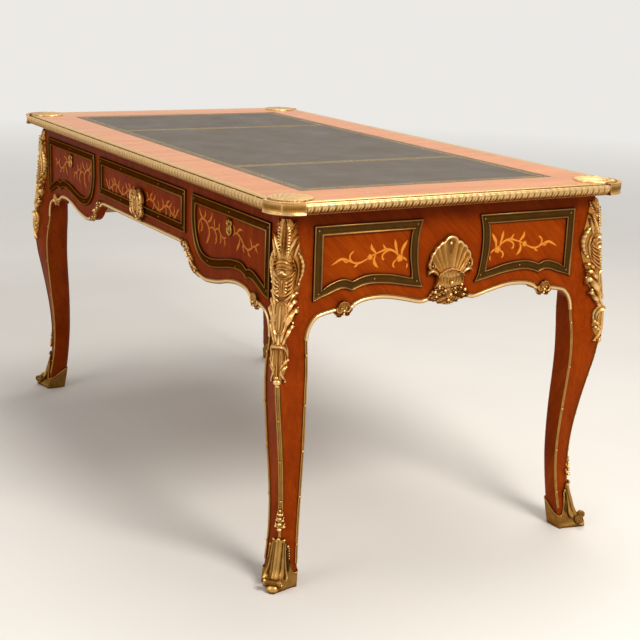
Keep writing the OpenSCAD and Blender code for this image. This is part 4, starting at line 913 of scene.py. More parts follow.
# Strokes of the knee mount's one side: path, half widths, heights, and section and lobes if any
KNEE_STROKES = [
    ([[12, 690], [22, 683], [32, 672], [39, 657], [39.5, 641], [35, 627], [27, 614]],
     [1.5, 4, 5.6, 6, 5.4, 4, 1.6], [6, 9, 11, 11.5, 10.5, 9, 6], ROUND, 10),
    ([[7, 683], [14, 673], [23, 661], [28, 646], [27, 630], [23, 614], [16, 600], [10, 586]],
     [1.4, 2.2, 2.5, 2.5, 2.4, 2, 1.4, 1], [8, 10, 11.5, 11.5, 10.5, 9, 7, 5]),
    ([[5, 666], [8, 683], [13, 697], [18, 707], [26, 713]], [2.6, 4.6, 4.6, 3.4, 0.8],
     [7, 10, 11.5, 12, 12]),
    ([[14, 658], [18, 674], [22, 690], [26, 702]], [2, 3.6, 3.4, 0.8], [8, 10.5, 12, 12]),
    ([[3, 694], [7, 709], [12, 721], [18, 731], [22, 738]], [3, 5.4, 5.4, 4, 1],
     [6, 7.5, 8, 7, 5], LEAF, 6),
    ([[7, 665], [12, 666], [16, 661]], [2.2, 3.4, 1.4], [13, 14, 12]),
    ([[11, 657], [16, 658], [20, 652]], [2, 3.2, 1.4], [12.5, 13.5, 12]),
    ([[14, 649], [20, 650], [24, 644]], [1.6, 2.8, 1.2], [12, 13, 11]),
    ([[10, 578], [17, 594], [26, 603], [38, 602]], [2.4, 5, 5.4, 1], [7, 9.5, 11, 11], ROUND, 3),
    ([[7, 552], [13, 572], [22, 586], [37, 588]], [2.8, 6, 7, 1], [7, 10, 12.5, 11.5], ROUND, 3),
    ([[3, 512], [8, 534], [14, 552], [23, 567], [32, 570], [38, 561]],
     [2.6, 5.4, 8.4, 9, 6, 1], [5, 8, 11.5, 15, 15, 11], ROUND, 3),
    ([[6, 504], [11, 519], [17, 531], [25, 541], [33, 540]], [2.4, 5, 6.4, 5, 1],
     [5, 8, 10.5, 11.5, 9], ROUND, 3),
    ([[0, 506], [6, 505.5], [11, 501], [15, 493], [16, 483]], [5.4, 5.2, 4, 3, 1],
     [14, 13.5, 11.5, 9, 7]),
    ([[9, 511], [15, 505], [19.5, 495], [20, 482], [16.5, 468]], [1.4, 2.4, 2.6, 2.2, 1],
     [5, 7, 6, 5, 4]),
    ([[4, 462], [11, 472], [18, 478], [24, 476]], [2.6, 5, 4.6, 0.8], [6, 8, 9.5, 8], ROUND, 3),
    ([[3, 449], [9, 459], [15, 465], [21, 464]], [2.4, 4.6, 4.2, 0.8], [5, 7, 8.5, 7], ROUND, 3),
    ([[3, 466], [7, 452], [12, 442], [18, 434]], [2, 3.2, 2.8, 0.8], [6, 7, 7, 5]),
    ([[4, 500], [6, 484], [5.5, 466], [3.5, 448]], [1.6, 1.9, 1.8, 1], [9, 9, 8, 6]),
    ([[10, 497], [12.5, 484], [11, 468], [7, 452]], [1.3, 1.7, 1.6, 1], [8, 8.5, 7.5, 6])
] + [
    ([[3.5, 634 - 8.6 * k], [9, 636.5 - 8.2 * k], [15, 641 - 7.6 * k], [22, 648 - 7.2 * k]],
     [1.8, 3.3, 3.6, 1.8], [8.5, 11.5, 12, 9]) for k in range(6)
]
# Strokes on the corner itself
KNEE_MIDDLE = [
    ([[0, 674], [0, 694], [0, 716], [0, 740]], [4.5, 8.5, 9.5, 3], [9, 11.5, 10, 6], LEAF, 7),
    (mirrored([[0, 665], [7, 662], [12, 656]]), [2, 4, 5, 4, 2],
     [9, 12.5, 14, 12.5, 9]),
    (mirrored([[0, 643], [4, 641], [8, 637]]), [1.8, 3.6, 4.4, 3.6, 1.8],
     [9, 11.5, 13, 11.5, 9]),
    (mirrored([[0, 652.5], [7, 650.5], [13, 646]]), [1.6, 3, 3.6, 3, 1.6],
     [10, 12, 13.5, 12, 10]),
    (mirrored([[0, 634], [6, 633.5], [12, 631]]), [1.6, 2.6, 3, 2.6, 1.6],
     [9, 11, 12, 11, 9]),
    ([[0, 630], [0, 618], [0, 604]], [3, 2.4, 1.6], [11, 9, 8]),
    ([[0, 583], [0, 560], [0, 537]], [2.4, 3.2, 2.4], [8, 9, 8]),
    (mirrored([[0, 596], [9, 597.5], [17, 601]]), [1.2, 1.8, 2, 1.8, 1.2],
     [7, 9, 9.5, 9, 7]),
    ([[8.5, 584], [9.5, 562], [8.5, 541], [4.5, 531], [0, 528], [-4.5, 531], [-8.5, 541],
      [-9.5, 562], [-8.5, 584], [-4.5, 589.5], [0, 591], [4.5, 589.5], [8.5, 584]], [2.2], [9.5]),
    ([[0, 500], [0, 480], [0, 460], [0, 440]], [2, 2.2, 2, 1.4], [10, 9.5, 8.5, 6]),
    ([[0, 530], [0, 518], [0, 505]], [3, 3.4, 5], [6, 7, 10])
]
KNEE_BERRIES = (
    [(7 - 0.1 * k, 722 - 5.6 * k, 10.5, 1.9) for k in range(8)]
    + [(6.2, 626 - 6 * k, 9.5, 1.7) for k in range(4)]
    + [(32, 620, 7, 3.6), (25, 548, 8, 3.2), (14, 436, 4, 2.2), (36, 575, 7, 2.2)]
)
KNEE_KNOBS = [(0, 645, 11.5, 3), (0, 445, 6.5, 3), (0, 435, 3.5, 6.4), (0, 427, 2.5, 3.6)]


def make_knee_mounts():
    mount = Casting()
    rows = table_rows(KNEE_TABLE, 150)
    rows = np.column_stack([0 * rows[:, 0], rows[:, 0], rows[:, 1], rows[:, 2]])
    mount.each(CORNERS, *plaque(rows, 7.5, 31, groove=0.5))
    both = both_ways(CORNERS)
    mount.strokes(both, KNEE_STROKES)
    mount.strokes(CORNERS, KNEE_MIDDLE)
    mount.balls(both, KNEE_BERRIES)
    mount.balls(CORNERS, KNEE_KNOBS, 0.8, 8, 12)
    mount.cast("leafy_knee_mounts", chased_gilt, "desk", "gilt_bronze", "leg_chutes")


make_knee_mounts()

HUSK_LEAVES = [
    ([[0, 121], [4, 124], [7, 128], [9, 133]], [2, 3.2, 2.4, 0.7], [4, 5.5, 5, 4]),
    ([[0, 132], [3, 136], [5.5, 141], [7, 146]], [1.8, 2.8, 2, 0.6], [4, 5, 4, 3]),
    ([[0, 143], [2, 147], [4, 152], [5, 157]], [1.5, 2.2, 1.6, 0.5], [4, 5, 4.4, 4])
]
HUSK_BERRIES = [(7, 125, 4.5, 2.8), (4.8, 138, 4.5, 2.5), (3.2, 150, 4.6, 2.2)]
HUSK_KNOBS = [(0, 119, 5, 4.3), (0, 130, 5.6, 3.8), (0, 141, 5.2, 3.2), (0, 150, 5, 2.7),
              (0, 158, 4.6, 2.3)]


def make_husks():
    husk = Casting()
    rows = [[0, 101, 3, 0.4], [0, 108, 2.6, 0.5], [0, 115, 2.8, 0.6], [0, 120, 5, 0.9],
            [0, 128, 5.2, 1], [0, 138, 4.2, 0.9], [0, 148, 3.2, 0.8], [0, 160, 1.4, 0.7]]
    husk.each(CORNERS, *plaque(rows, 4.2, 9))
    both = both_ways(CORNERS)
    husk.strokes(both, HUSK_LEAVES, 5)
    husk.balls(both, HUSK_BERRIES)
    husk.balls(CORNERS, HUSK_KNOBS)
    husk.cast("husks_and_berries", chased_gilt, "desk", "gilt_bronze", "leg_husks")


make_husks()


# Shoes

# How far the toe stands out at each height
TOE_LINE = [[0, 6], [5, 8], [10, 6.5], [16, 4], [26, 2], [40, 0], [60, 0], [200, 0]]
# Points round the shoe, counted in corners of the leg's section, and the wall's height at each
SHOE_ROUND = np.concatenate([np.linspace(k, k + 1, n + 1)[:-1] for k, n in
                             enumerate([8, 4, 24, 9, 24, 4, 8, 4])])
SHOE_EDGE = [[0, 0.60], [0.3, 0.52], [0.65, 0.38], [1, 0.32], [2, 0.29], [2.12, 0.33], [2.3, 0.53],
             [2.44, 0.78], [2.52, 0.85], [2.6, 0.83], [2.68, 0.80], [2.74, 0.92], [2.8, 0.98], [3, 1],
             [3.5, 1.01]]
SHOE_STROKES = [
    ([[27, 34], [25.5, 46], [23, 58], [20, 70], [17.5, 83]], [1, 2.6, 3.2, 2.8, 1.4],
     [4, 5, 5.4, 5.4, 5], CHANNEL),
    ([[12.5, 92], [14, 72], [17, 52], [20, 38], [21.5, 28], [19, 22]],
     [1, 1.7, 2.1, 2.4, 2.4, 1.6], [5, 5.4, 6, 8, 12, 15])
]
SHOE_BALLS = [(17.5, 85, 5, 3.0), (9, 98, 5, 3.0)] + [
    (20.6 + 0.9 * j, 80 - 5 * j, 4, 2.2 - 0.15 * j) for j in range(5)]
SHOE_KNOBS = [(0, 99.5, 5.4, 3.2), (0, 9.5, 9.5, 8.8)]


def shoe_wall(steps, out, z_low, toe):
    """The shoe's wall from z_low to its wavy edge: each of its points lies between two corners of
    the leg's section at its own height."""
    k = SHOE_ROUND
    rise = np.interp(np.minimum(k, 7 - k).clip(0), *np.array(SHOE_EDGE).T)
    z = z_low + np.linspace(0, 1, steps + 1)[:, None] * (rise * SHOE_H - z_low)
    push = smooth(TOE_LINE, z)[..., 1] if toe else 0 * z
    p = leg_section(z.ravel(), out, push.ravel()).reshape(*z.shape, 8, 2)
    low = np.floor(k).astype(int)
    j = np.arange(len(k))
    u = (k - low)[None, :, None]
    q = p[:, j, low] * (1 - u) + p[:, j, (low + 1) % 8] * u
    return np.concatenate([q, z[..., None]], -1)


def toe_roll():
    """The roll across a shoe's toe, turned about a level line square to the corner. Its radius is
    that of the waist plus a sixth power of the way to the ends, and rings are cut into each end."""
    out, high, half, cols = 16.0, 20.5, 17.0, 28
    end = np.array([[half, 9.4], [half, 8.6], [half - 1.6, 7.8], [half - 1.6, 6.2],
                    [half - 0.2, 5.4], [half - 0.2, 4.2], [half - 1.4, 3.6], [half - 1.4, 2.6],
                    [half + 0.6, 1.8], [half + 1.0, 0.3]])
    t = np.linspace(-0.97, 0.97, 25)
    body = np.stack([half * t, 7.0 + 2.4 * t ** 6], -1)
    line = np.concatenate([(end * [-1, 1])[::-1], body, end])
    w = np.arange(cols) * 2 * math.pi / cols
    along, r = line[:, :1], line[:, 1:]
    away, up = r * np.cos(w), r * np.sin(w)
    root = math.sqrt(0.5)
    x = FX + out + root * (along + away)
    y = FY + out + root * (away - along)
    ring_relief = np.where(np.abs(along) < half - 0.8, 0.05, 0.85)
    relief = np.where(np.abs(along) < 0.95 * half, 0.35 + 0.4 * (along / half) ** 4, ring_relief)
    return np.dstack([x, y, high + up]), relief


def shoe_body():
    """The shoe's wall and lining. The front faces are fluted between a plain foot, which flares,
    and a rolled edge, by the square root of a sine; the inner faces are smoothed."""
    wall = shoe_wall(30, SHOE_T, 0, True)
    t = np.linspace(0, 1, 31)[:, None]
    k = SHOE_ROUND[None, :]
    on_face = np.clip(np.minimum(k - 2.56, 4.44 - k) / 0.1, 0, 1)
    flute = np.abs(np.sin((k - 3.5) * math.pi * 1.6)) ** 0.5
    depth = 2.8 * on_face * np.clip((t - 0.26) / 0.1, 0, 1) * np.clip((0.98 - t) / 0.04, 0, 1)
    edge = 1.5 * np.exp(-((t - 0.98) / 0.02) ** 2) + 0 * k
    centre = np.array([LEG_X + 24, LEG_Y + 24])
    out = unit(wall[..., :2] - centre)
    wall[..., :2] += out * (edge - depth * (1 - flute))[..., None]
    z = wall[..., 2]
    foot = 1.8 * np.exp(-((z - 5) / 4.0) ** 2) - 2.2 * np.exp(-((z - 0.5) / 1.6) ** 2)
    front = np.clip(np.minimum(k - 1.6, 5.4 - k) / 0.6, 0, 1)
    wall[..., :2] += out * (foot * front)[..., None]
    for _ in range(2):
        soft = 0.25 * np.roll(wall, 1, 1) + 0.5 * wall + 0.25 * np.roll(wall, -1, 1)
        inner = (np.abs(SHOE_ROUND - 3.5) > 1.2)[None, :, None]
        wall = np.where(inner, soft, wall)
    lining = shoe_wall(8, 0.85, 8, False)[::-1]
    relief = np.concatenate([
        np.clip(0.35 + 0.5 * flute * (depth > 0) + edge + 0.15 * (on_face < 0.5), 0, 1),
        np.zeros(lining.shape[:2])
    ])
    return np.concatenate([wall, lining]), relief


def make_shoes():
    body, body_relief = shoe_body()
    roll, roll_relief = toe_roll()
    for name, signs in CORNER_SIGNS:
        shoe = Casting()
        shoe.add(MM * body * signs, body_relief)
        place = corner(signs)
        shoe.strokes(both_ways([place]), SHOE_STROKES)
        shoe.balls(both_ways([place]), SHOE_BALLS)
        shoe.balls([place], SHOE_KNOBS, 0.9, 9, 14)
        shoe.add(MM * roll * signs, roll_relief)
        shoe.cast(f"fluted_shoe_{name}", worn_gilt, "desk", "gilt_bronze", f"sabot_{name}")


make_shoes()


# Shells in the middle of the ends


def fan(cast, places, foot, rim, lobes, low, high, edge=2.2, rows=14, per=8, depth=3.4):
    """A fluted shell from its foot to a scalloped rim. Each lobe is a hollow between two ribs, and
    its edge swells out by a fifth of its width. h runs from low at the foot to high at the rim,
    less depth * sin(pi * share of the lobe)^0.8, which a narrow lobe has less of."""
    widths = np.array(lobes, float)
    marks = np.concatenate([[0], np.cumsum(widths)]) / widths.sum()
    u = np.linspace(0, 1, len(widths) * per + 1)
    k = np.clip(np.searchsorted(marks, u, side="right") - 1, 0, len(widths) - 1)
    hollow = np.sin(math.pi * (u - marks[k]) / (marks[k + 1] - marks[k])).clip(0)
    along = []
    for line in (curve(rim, 10), curve(foot, 10)):
        run = np.linspace(0, 1, len(line))
        along.append(between(u, run, line))
    outline, start = along
    ends = between(marks, u, outline)
    wide = np.linalg.norm(np.diff(ends, axis=0), axis=1)[k]
    way = unit(outline - start.mean(0))
    outline = outline + way * (0.2 * wide * hollow ** 0.6)[:, None]
    v = np.concatenate([np.linspace(0, 0.88, rows), [0.91, 0.94, 0.97, 0.99, 1.0]])[:, None]
    w = (0.5 + 0.5 * widths[k] / widths.max())[None, :]
    p = start[None] + (outline - start)[None] * v[..., None]
    cut = np.clip(v * 1.8, 0, 1) * np.clip((0.93 - v) / 0.04, 0, 1)
    h = low + (high - low) * v ** 1.3 - depth * w * hollow[None, :] ** 0.8 * cut
    roll = np.exp(-((v - 0.955) / 0.03) ** 2)
    h = h + edge * roll * (0.6 + 0.4 * hollow[None, :]) - 2.0 * (v >= 1)
    h = np.maximum(h, 0.8)
    relief = np.clip(0.62 - 0.55 * hollow[None, :] ** 0.7 * cut + 0.5 * roll, 0, 1)
    front = np.dstack([p, h])
    back = np.dstack([p, np.zeros_like(h)])[:, ::-1]
    cast.each(places, np.concatenate([front, back], 1), np.concatenate([relief, 0 * relief], 1))


def rosette(cast, places, a, b, h, r):
    """A small flower: six petals round a berry."""
    cast.each(places, *ball(a, b, h + r * 0.35, r * 0.36))
    for k in range(6):
        w = 2 * math.pi * k / 6 + 0.3
        c, s = math.cos(w), math.sin(w)
        path = [[a + 0.3 * r * c, b + 0.3 * r * s], [a + 0.7 * r * c, b + 0.7 * r * s],
                [a + 1.02 * r * c, b + 1.02 * r * s]]
        cast.strokes(places, [(path, [0.2 * r, 0.46 * r, 0.18 * r], [h, h + 0.4 * r, h])], 4)


SHELL_RIM = mirrored([[0, 682], [9, 680.5], [17, 676.5], [26, 671.5], [34, 665], [40, 657],
                      [45.5, 647.5], [48.5, 637], [47, 627]])
SMALL_RIM = mirrored([[0, 621.5], [11, 619.5], [20, 615.5], [28, 610], [31, 603]])
SHELL_BODY = [[0, 546, 8, 0.3], [0, 551, 22, 0.6], [0, 557, 35, 0.7], [0, 563, 43, 0.7],
              [0, 570, 41, 0.8], [0, 578, 34, 0.9], [0, 588, 31, 0.9], [0, 598, 28, 0.6],
              [0, 605, 24, 0.3]]
SHELL_SIDE = [
    ([[25, 611], [31, 621], [38, 631], [45, 639]], [2, 3, 3, 2], [9, 11, 10.5, 8]),
    ([[46, 641], [51, 634], [50, 625.5], [43.5, 622], [38.5, 626], [39.5, 632], [44, 632]],
     [2.2, 2.8, 3, 2.6, 2.2, 1.8, 1.2], [8, 9.5, 11, 11, 10, 9, 8]),
    ([[26, 606], [34, 615], [42, 619], [49, 617.5], [53, 612]], [3, 5, 5.6, 4.2, 1.2],
     [10, 12.5, 13, 12, 9]),
    ([[30, 606], [29.5, 598], [31, 590], [36, 583]], [1.6, 1.9, 2.1, 1], [12, 12, 11, 8]),
    ([[8, 574], [20, 578], [32, 575], [42, 568], [50, 561]], [4, 6.5, 6.5, 4.5, 1.2],
     [9, 11, 11, 9, 6], LEAF, 6),
    ([[4, 566], [14, 567], [26, 562], [36, 556]], [4, 6, 5.5, 1.6], [8, 10, 9, 6], LEAF, 5),
    ([[2, 558], [9, 557], [17, 553.5], [24, 551]], [3.4, 4.6, 4, 1.4], [7, 8, 7, 5], LEAF, 4),
    ([[0, 553], [4, 550.5], [8, 549]], [2.4, 2.6, 1], [6, 6, 4], LEAF, 2)
]
SHELL_BERRIES = [(27, 587, 10, 3.4), (36, 576, 9, 4), (43.5, 629, 8, 2), (33, 566, 10, 2.8)]
SHELL_KNOBS = [(0, 593.5, 13, 4.2), (0, 569, 12, 3.6), (11.5, 572, 12, 3), (-3, 557, 9, 3.2),
               (6, 548, 5, 2.4)]


def make_shells():
    for name, place in (("right", on_right), ("left", on_left)):
        shell = Casting()
        fan(shell, [place], [[-17, 606], [0, 603], [17, 606]], SHELL_RIM,
            [1.5] * 4 + [4] + [1.5] * 4, 9.5, 6.2, edge=2.6, per=10, depth=3.6)
        shell.each([place], *plaque(table_rows(SHELL_BODY, 40, 1), 7, 31, veins=0.9))
        fan(shell, [place], [[-29, 588], [0, 585], [29, 588]], SMALL_RIM, [1] * 9, 9.5, 12.2,
            edge=2.0, rows=8, depth=3.0)
        shell.strokes(both_ways([place]), SHELL_SIDE)
        shell.balls(both_ways([place]), SHELL_BERRIES)
        shell.balls([place], SHELL_KNOBS)
        for a, b, r in ((-14, 578, 9), (10, 581, 8), (25, 581, 6), (-27, 583, 5)):
            rosette(shell, [place], a, b, 9, r)
        shell.each([place], *ball(0, 672, 4.6, 3.2, 0.6))
        shell.cast(f"end_shell_{name}", chased_gilt, "desk", "gilt_bronze", f"shell_{name}")


make_shells()

# The crest on the middle drawer, the clasps and the kneehole's scrolls


def lifted(place, h):
    """The same placing function with the sheet lifted off by h."""
    return lambda p: place(p + np.array([0, 0, h]))


def moved(place, a, b, lean=0.0):
    """The same placing function for a sheet whose middle goes to (a, b), leaning by an angle."""
    c, s = math.cos(lean), math.sin(lean)

    def put(p):
        x = a + c * p[..., 0] - s * p[..., 1]
        y = b + s * p[..., 0] + c * p[..., 1]
        return place(np.stack([x, y, p[..., 2]], -1))

    return put


def oval(a, b, ra, rb):
    turns = [2 * math.pi * k / 24 for k in range(25)]
    return [[a + ra * math.cos(w), b + rb * math.sin(w)] for w in turns]


CREST_STROKES = [
    ([[4, 687], [11, 684], [18, 676], [24, 664], [26, 650], [23, 637], [17, 627], [9, 620]],
     [2, 4, 5, 5, 5, 4, 2.4], [6, 9, 11, 11, 9, 6], LEAF, 9),
    ([[17, 684], [25, 680], [31, 672], [33, 663], [29, 657], [24, 660], [26, 665]],
     [1.6, 3.4, 4, 3.4, 2.6, 1.6], [6, 9, 10, 9, 8, 7]),
    ([[14, 628], [22, 626], [29, 630], [33, 637], [30, 643], [26, 641]],
     [1.6, 3.2, 3.6, 3, 2.2, 1.4], [5, 8, 9, 9, 8, 7]),
    ([[3, 674], [9, 681], [15, 685], [20, 685]], [2, 4, 3.4, 0.8], [7, 9, 8, 5], LEAF, 4),
    ([[2, 626], [8, 620], [14, 617], [20, 619]], [2, 4, 3.2, 0.8], [5, 7, 7, 4], LEAF, 3)
]
CREST_BERRIES = [(26 - 0.016 * (z - 650) ** 2, z, 9, 2.1) for z in range(632, 672, 6)]


def add_crest(cast, places):
    rows = [[0, 616.8, 5, 0.4], [0, 622, 13, 0.7], [0, 630, 21, 0.9], [0, 640, 25, 1],
            [0, 650, 27, 1], [0, 660, 26, 1], [0, 670, 22, 0.9], [0, 679, 16, 0.7],
            [0, 686, 8, 0.4]]
    cast.each(places, *plaque(rows, 5.5, 15))
    cast.strokes(places, [(oval(0, 651, 16.5, 23), 2.2, 9.5), (oval(0, 651, 11, 16.5), 1.1, 7)], 2)
    cast.strokes(both_ways(places), CREST_STROKES)
    cast.balls(both_ways(places), CREST_BERRIES)
    fan(cast, places, mirrored([[0, 667], [4, 668]]),
        mirrored([[0, 685], [4, 684], [9, 681], [12, 677]]), [1] * 5, 8, 9,
        edge=1.2, rows=5, per=6, depth=2)
    cast.balls(places, [(0, 617, 3, 3.2), (0, 623, 5, 3.8), (0, 667, 8, 3.6)])


def keyhole(cast, place, half, high, thick):
    """A plate round a keyhole: sections by angle, from the hole's edge to the outer edge, an
    ellipse whose lobes are cosines of the angle."""
    w = np.linspace(0, 2 * math.pi, 97)[:-1]
    c, s = np.cos(w), np.sin(w)
    slot = np.minimum(1.2 / np.maximum(np.abs(c), 1e-6), 8 / np.maximum(np.abs(s), 1e-6))
    hole = np.maximum(2.6, np.where(s < 0, slot, 0))
    edge = 1 / np.sqrt((c / half) ** 2 + (s / high) ** 2)
    edge = edge * (0.90 + 0.07 * np.cos(6 * w) + 0.035 * np.abs(np.cos(9 * w)))
    t = np.array([[0, 0, 0], [0, 0.75, 0.9], [0.12, 1.0, 1], [0.24, 0.72, 0.3], [0.5, 0.5, 0.15],
                  [0.72, 0.6, 0.3], [0.84, 0.95, 0.9], [0.93, 1, 1], [1, 0.7, 0.5], [1, 0, 0]])
    r = hole[:, None] + (edge - hole)[:, None] * t[:, 0]
    rings = np.dstack([r * c[:, None], r * s[:, None], np.broadcast_to(thick * t[:, 1], r.shape)])
    cast.add(place(rings), np.broadcast_to(t[:, 2], r.shape), loop=True)


PLATE_EDGE = [
    ([[4, 16], [9, 14], [10.5, 9], [7.5, 4], [9.5, -1], [10.5, -7], [7, -12], [3, -16]],
     [0.8, 1.6, 1.8, 1.4, 1.8, 1.8, 1.4, 0.7], [3, 4.2, 4.4, 3.8, 4.4, 4, 3])
]
PLATE_LEAF = [([[1, 12], [4, 17], [7, 19]], [1.2, 2, 0.6], [3, 4, 3], LEAF)]


def add_plate(cast, place):
    keyhole(cast, place, 10.6, 16.6, 3.4)
    for side in both_ways([place]):
        cast.strokes([side], PLATE_EDGE, 5)
        cast.strokes([side], PLATE_LEAF, 4)
    cast.balls([place], [(0, 14.5, 3, 1.9), (0, -15, 2.8, 1.7)])


def make_plates():
    for name, x in (("left", -SIDE_MID), ("right", SIDE_MID)):
        plate = Casting()
        add_plate(plate, moved(on_front, x, KEY_Z))
        plate.cast(f"keyhole_plate_{name}", worn_gilt, f"drawer_{name}", "gilt_bronze",
                   f"drawer_{name}_plate")
    crest = Casting()
    add_crest(crest, [lifted(on_front, 5)])
    crest.cast("cartouche_crest", chased_gilt, "drawer_center", "gilt_bronze", "drawer_center_crest")
    back = Casting()
    add_crest(back, [lifted(on_back, 5)])
    for x in (-SIDE_MID, SIDE_MID):
        add_plate(back, moved(on_back, x, KEY_Z))
    back.cast("back_plates_and_crest", chased_gilt, "desk", "gilt_bronze", "back_plates")


make_plates()


CLASP_STROKES = [
    ([[3, -3], [8, -6], [13, -4], [15, 1], [12, 4], [9, 2]], [1.6, 2.6, 2.8, 2.4, 1.8, 1],
     [5, 7, 7.5, 7, 6, 5]),
    ([[6, -4], [12, -7], [17, -5.5], [21, -2]], [2, 3.6, 3, 0.8], [5, 6.5, 6, 4], LEAF, 3),
    ([[2, -8], [6, -12], [11, -13], [15, -11]], [2, 3, 2.6, 0.8], [4, 6, 5, 3], LEAF, 3)
]


def make_clasps():
    clasp = Casting()
    spots = []
    for path, first, places, mid in ((FRONT_PATH, 14, LONG_SIDES, CLASP_X),
                                     (END_PATH, 7, ENDS, END_CLASP_Y)):
        (x0, z0), (x1, z1) = path[first * STEPS], path[(first + 1) * STEPS]
        lean = math.atan2(z1 - z0, x1 - x0)
        spots += [moved(place, mid, (z0 + z1) / 2, lean) for place in both_ways(places)]
    rows = [[0, -13, 6, 0.4], [0, -9, 11, 0.7], [0, -4, 13, 0.9], [0, 2, 12, 1], [0, 8, 9, 0.8],
            [0, 13, 4, 0.4]]
    clasp.each(spots, *plaque(rows, 4.5, 11))
    fan(clasp, spots, mirrored([[0, -3], [4, -2]]),
        mirrored([[0, 14.5], [6, 12.5], [10, 8], [11, 3]]), [1] * 5, 5, 7,
        edge=1.4, rows=6, per=6, depth=2)
    clasp.strokes(both_ways(spots), CLASP_STROKES, 5)
    clasp.balls(spots, [(0, -3, 6, 3.2), (0, -10, 4.5, 2.8), (5, 2, 6, 1.7), (-5, 2, 6, 1.7)])
    clasp.cast("bead_clasps_leafy", chased_gilt, "desk", "gilt_bronze", "bead_clasps")


make_clasps()


# Leaves along the scroll: shares of its line where they start and end, how far they then stand
# beside it, half widths, heights, lobes
SCROLL_LEAVES = [
    (0.30, 0.02, 3, -6, [3, 5.5, 5, 3, 1], [7, 9, 8, 6, 4], 7),
    (0.16, 0.44, 1, 9, [2, 5, 5.4, 4, 1], [7, 9, 9, 8, 5], 6),
    (0.52, 0.24, -3, -10, [3, 5, 5, 3.4, 1], [7, 9, 9, 7, 5], 5),
    (0.40, 0.66, 2, 10, [3, 5, 5, 3.4, 1], [7, 9, 9, 8, 5], 5),
    (0.62, 0.90, -1, 7, [3, 5, 4.6, 3, 1], [8, 9, 8, 6, 4], 6),
    (0.58, 0.82, -3, -9, [2.4, 4.4, 4, 2.6, 0.8], [7, 8, 7, 6, 4], 5),
    (0.72, 0.99, 1, -4, [2.4, 4.6, 4.6, 3, 1], [7, 8, 7, 6, 4], 6)
]
# Berries: share of the line, distance beside it, radius
SCROLL_BERRIES = [(0.30, 5, 3.4), (0.36, -4, 3.2), (0.5, 0, 4.6), (0.57, 5, 3.2), (0.7, -3, 2.8),
                  (0.1, 3, 2.4), (0.88, 3, 2.4)]


def make_kneehole_scrolls():
    scrolls = Casting()
    places = both_ways(LONG_SIDES)
    line = span(FRONT_PATH, 2, 8)
    share = np.linspace(0, 1, len(line))
    scrolls.each(places, *stroke(line, [4.4, 5, 4.2, 4.4, 5, 4.4], [4.6, 6, 7, 7, 6, 4.6], BEAD,
                                 steps=1))
    t = np.linspace(0, 1, 7)
    for t0, t1, d0, d1, width, height, lobes in SCROLL_LEAVES:
        base = between(t0 + (t1 - t0) * t, share, line)
        reach = (d0 + (d1 - d0) * t ** 1.6)[:, None]
        scrolls.each(places, *stroke(beside(base, reach), width, height, LEAF, lobes))
    for t0, d, r in SCROLL_BERRIES:
        a, b = between(t0, share, beside(line, d))
        scrolls.each(places, *ball(a, b, 7, r))
    scrolls.cast("kneehole_leaf_scrolls", chased_gilt, "desk", "gilt_bronze", "kneehole_scrolls")


make_kneehole_scrolls()


# Corner caps

CAP_POINTS = 81


def cap_side(e):
    """The corner's outline as points (from the end, from the long side), drawn in by e."""
    r = CAP_REACH
    u = [r, 0.67 * r, 0.42 * r + e / 2, 0.18 * r + e, 0.05 * r + e, e]
    return np.stack([u, u[::-1]], -1)


def even(points, n):
    """n points at even steps along a smooth curve."""
    line = curve(points, 8)
    run = np.concatenate([[0], np.cumsum(np.linalg.norm(np.diff(line, axis=0), axis=1))])
    return between(np.linspace(0, run[-1], n), run, line)


def cap_wall():
    """A cap's hollowed side: two facets between three posts, each post a bell curve along the
    outline, with fine ribs by a cosine."""
    # Height under the top, distance drawn in
    levels = [(-23.5, 2.6), (-23, 0.9), (-21.8, 0.2), (-20.6, 0.5), (-19.8, 1.8), (-17, 2.3),
              (-12, 2.5), (-8, 2.2), (-5, 1.6), (-3, 1.1), (-1.4, 1.0), (-0.4, 1.4), (0, 2.2)]
    t = np.linspace(0, 1, CAP_POINTS)
    outer = np.stack([even(cap_side(e), CAP_POINTS) for _, e in levels])
    z = np.array([v for v, _ in levels])[:, None]
    inward = unit(40.0 - outer)
    mid = np.exp(-((z + 11) / 7.5) ** 2)
    ribs = 0.2 * np.cos(2 * math.pi * 22 * t)[None] * mid
    posts = sum(np.exp(-((t - q) / 0.022) ** 2) for q in (0.0, 0.5, 1.0))[None]
    facets = 1.4 * np.sin(math.pi * (t / 0.5 % 1))[None] * mid
    outer = outer + inward * (facets - 2.4 * posts * mid + ribs * (1 - posts))[..., None]
    inner = np.array([[27, 60], [27, 52], [27, 43], [35, 35], [43, 27], [52, 27], [60, 27]])
    ring = np.concatenate([outer, np.broadcast_to(inner, (len(levels), *inner.shape))], 1)
    wall = np.dstack([ring, np.broadcast_to(z, ring.shape[:2])])
    shine = np.clip(0.9 - 0.85 * mid + 0.6 * posts * mid + 0.05 * np.cos(44 * math.pi * t), 0, 1)
    return wall, np.concatenate([shine, np.zeros((len(levels), len(inner)))], 1)


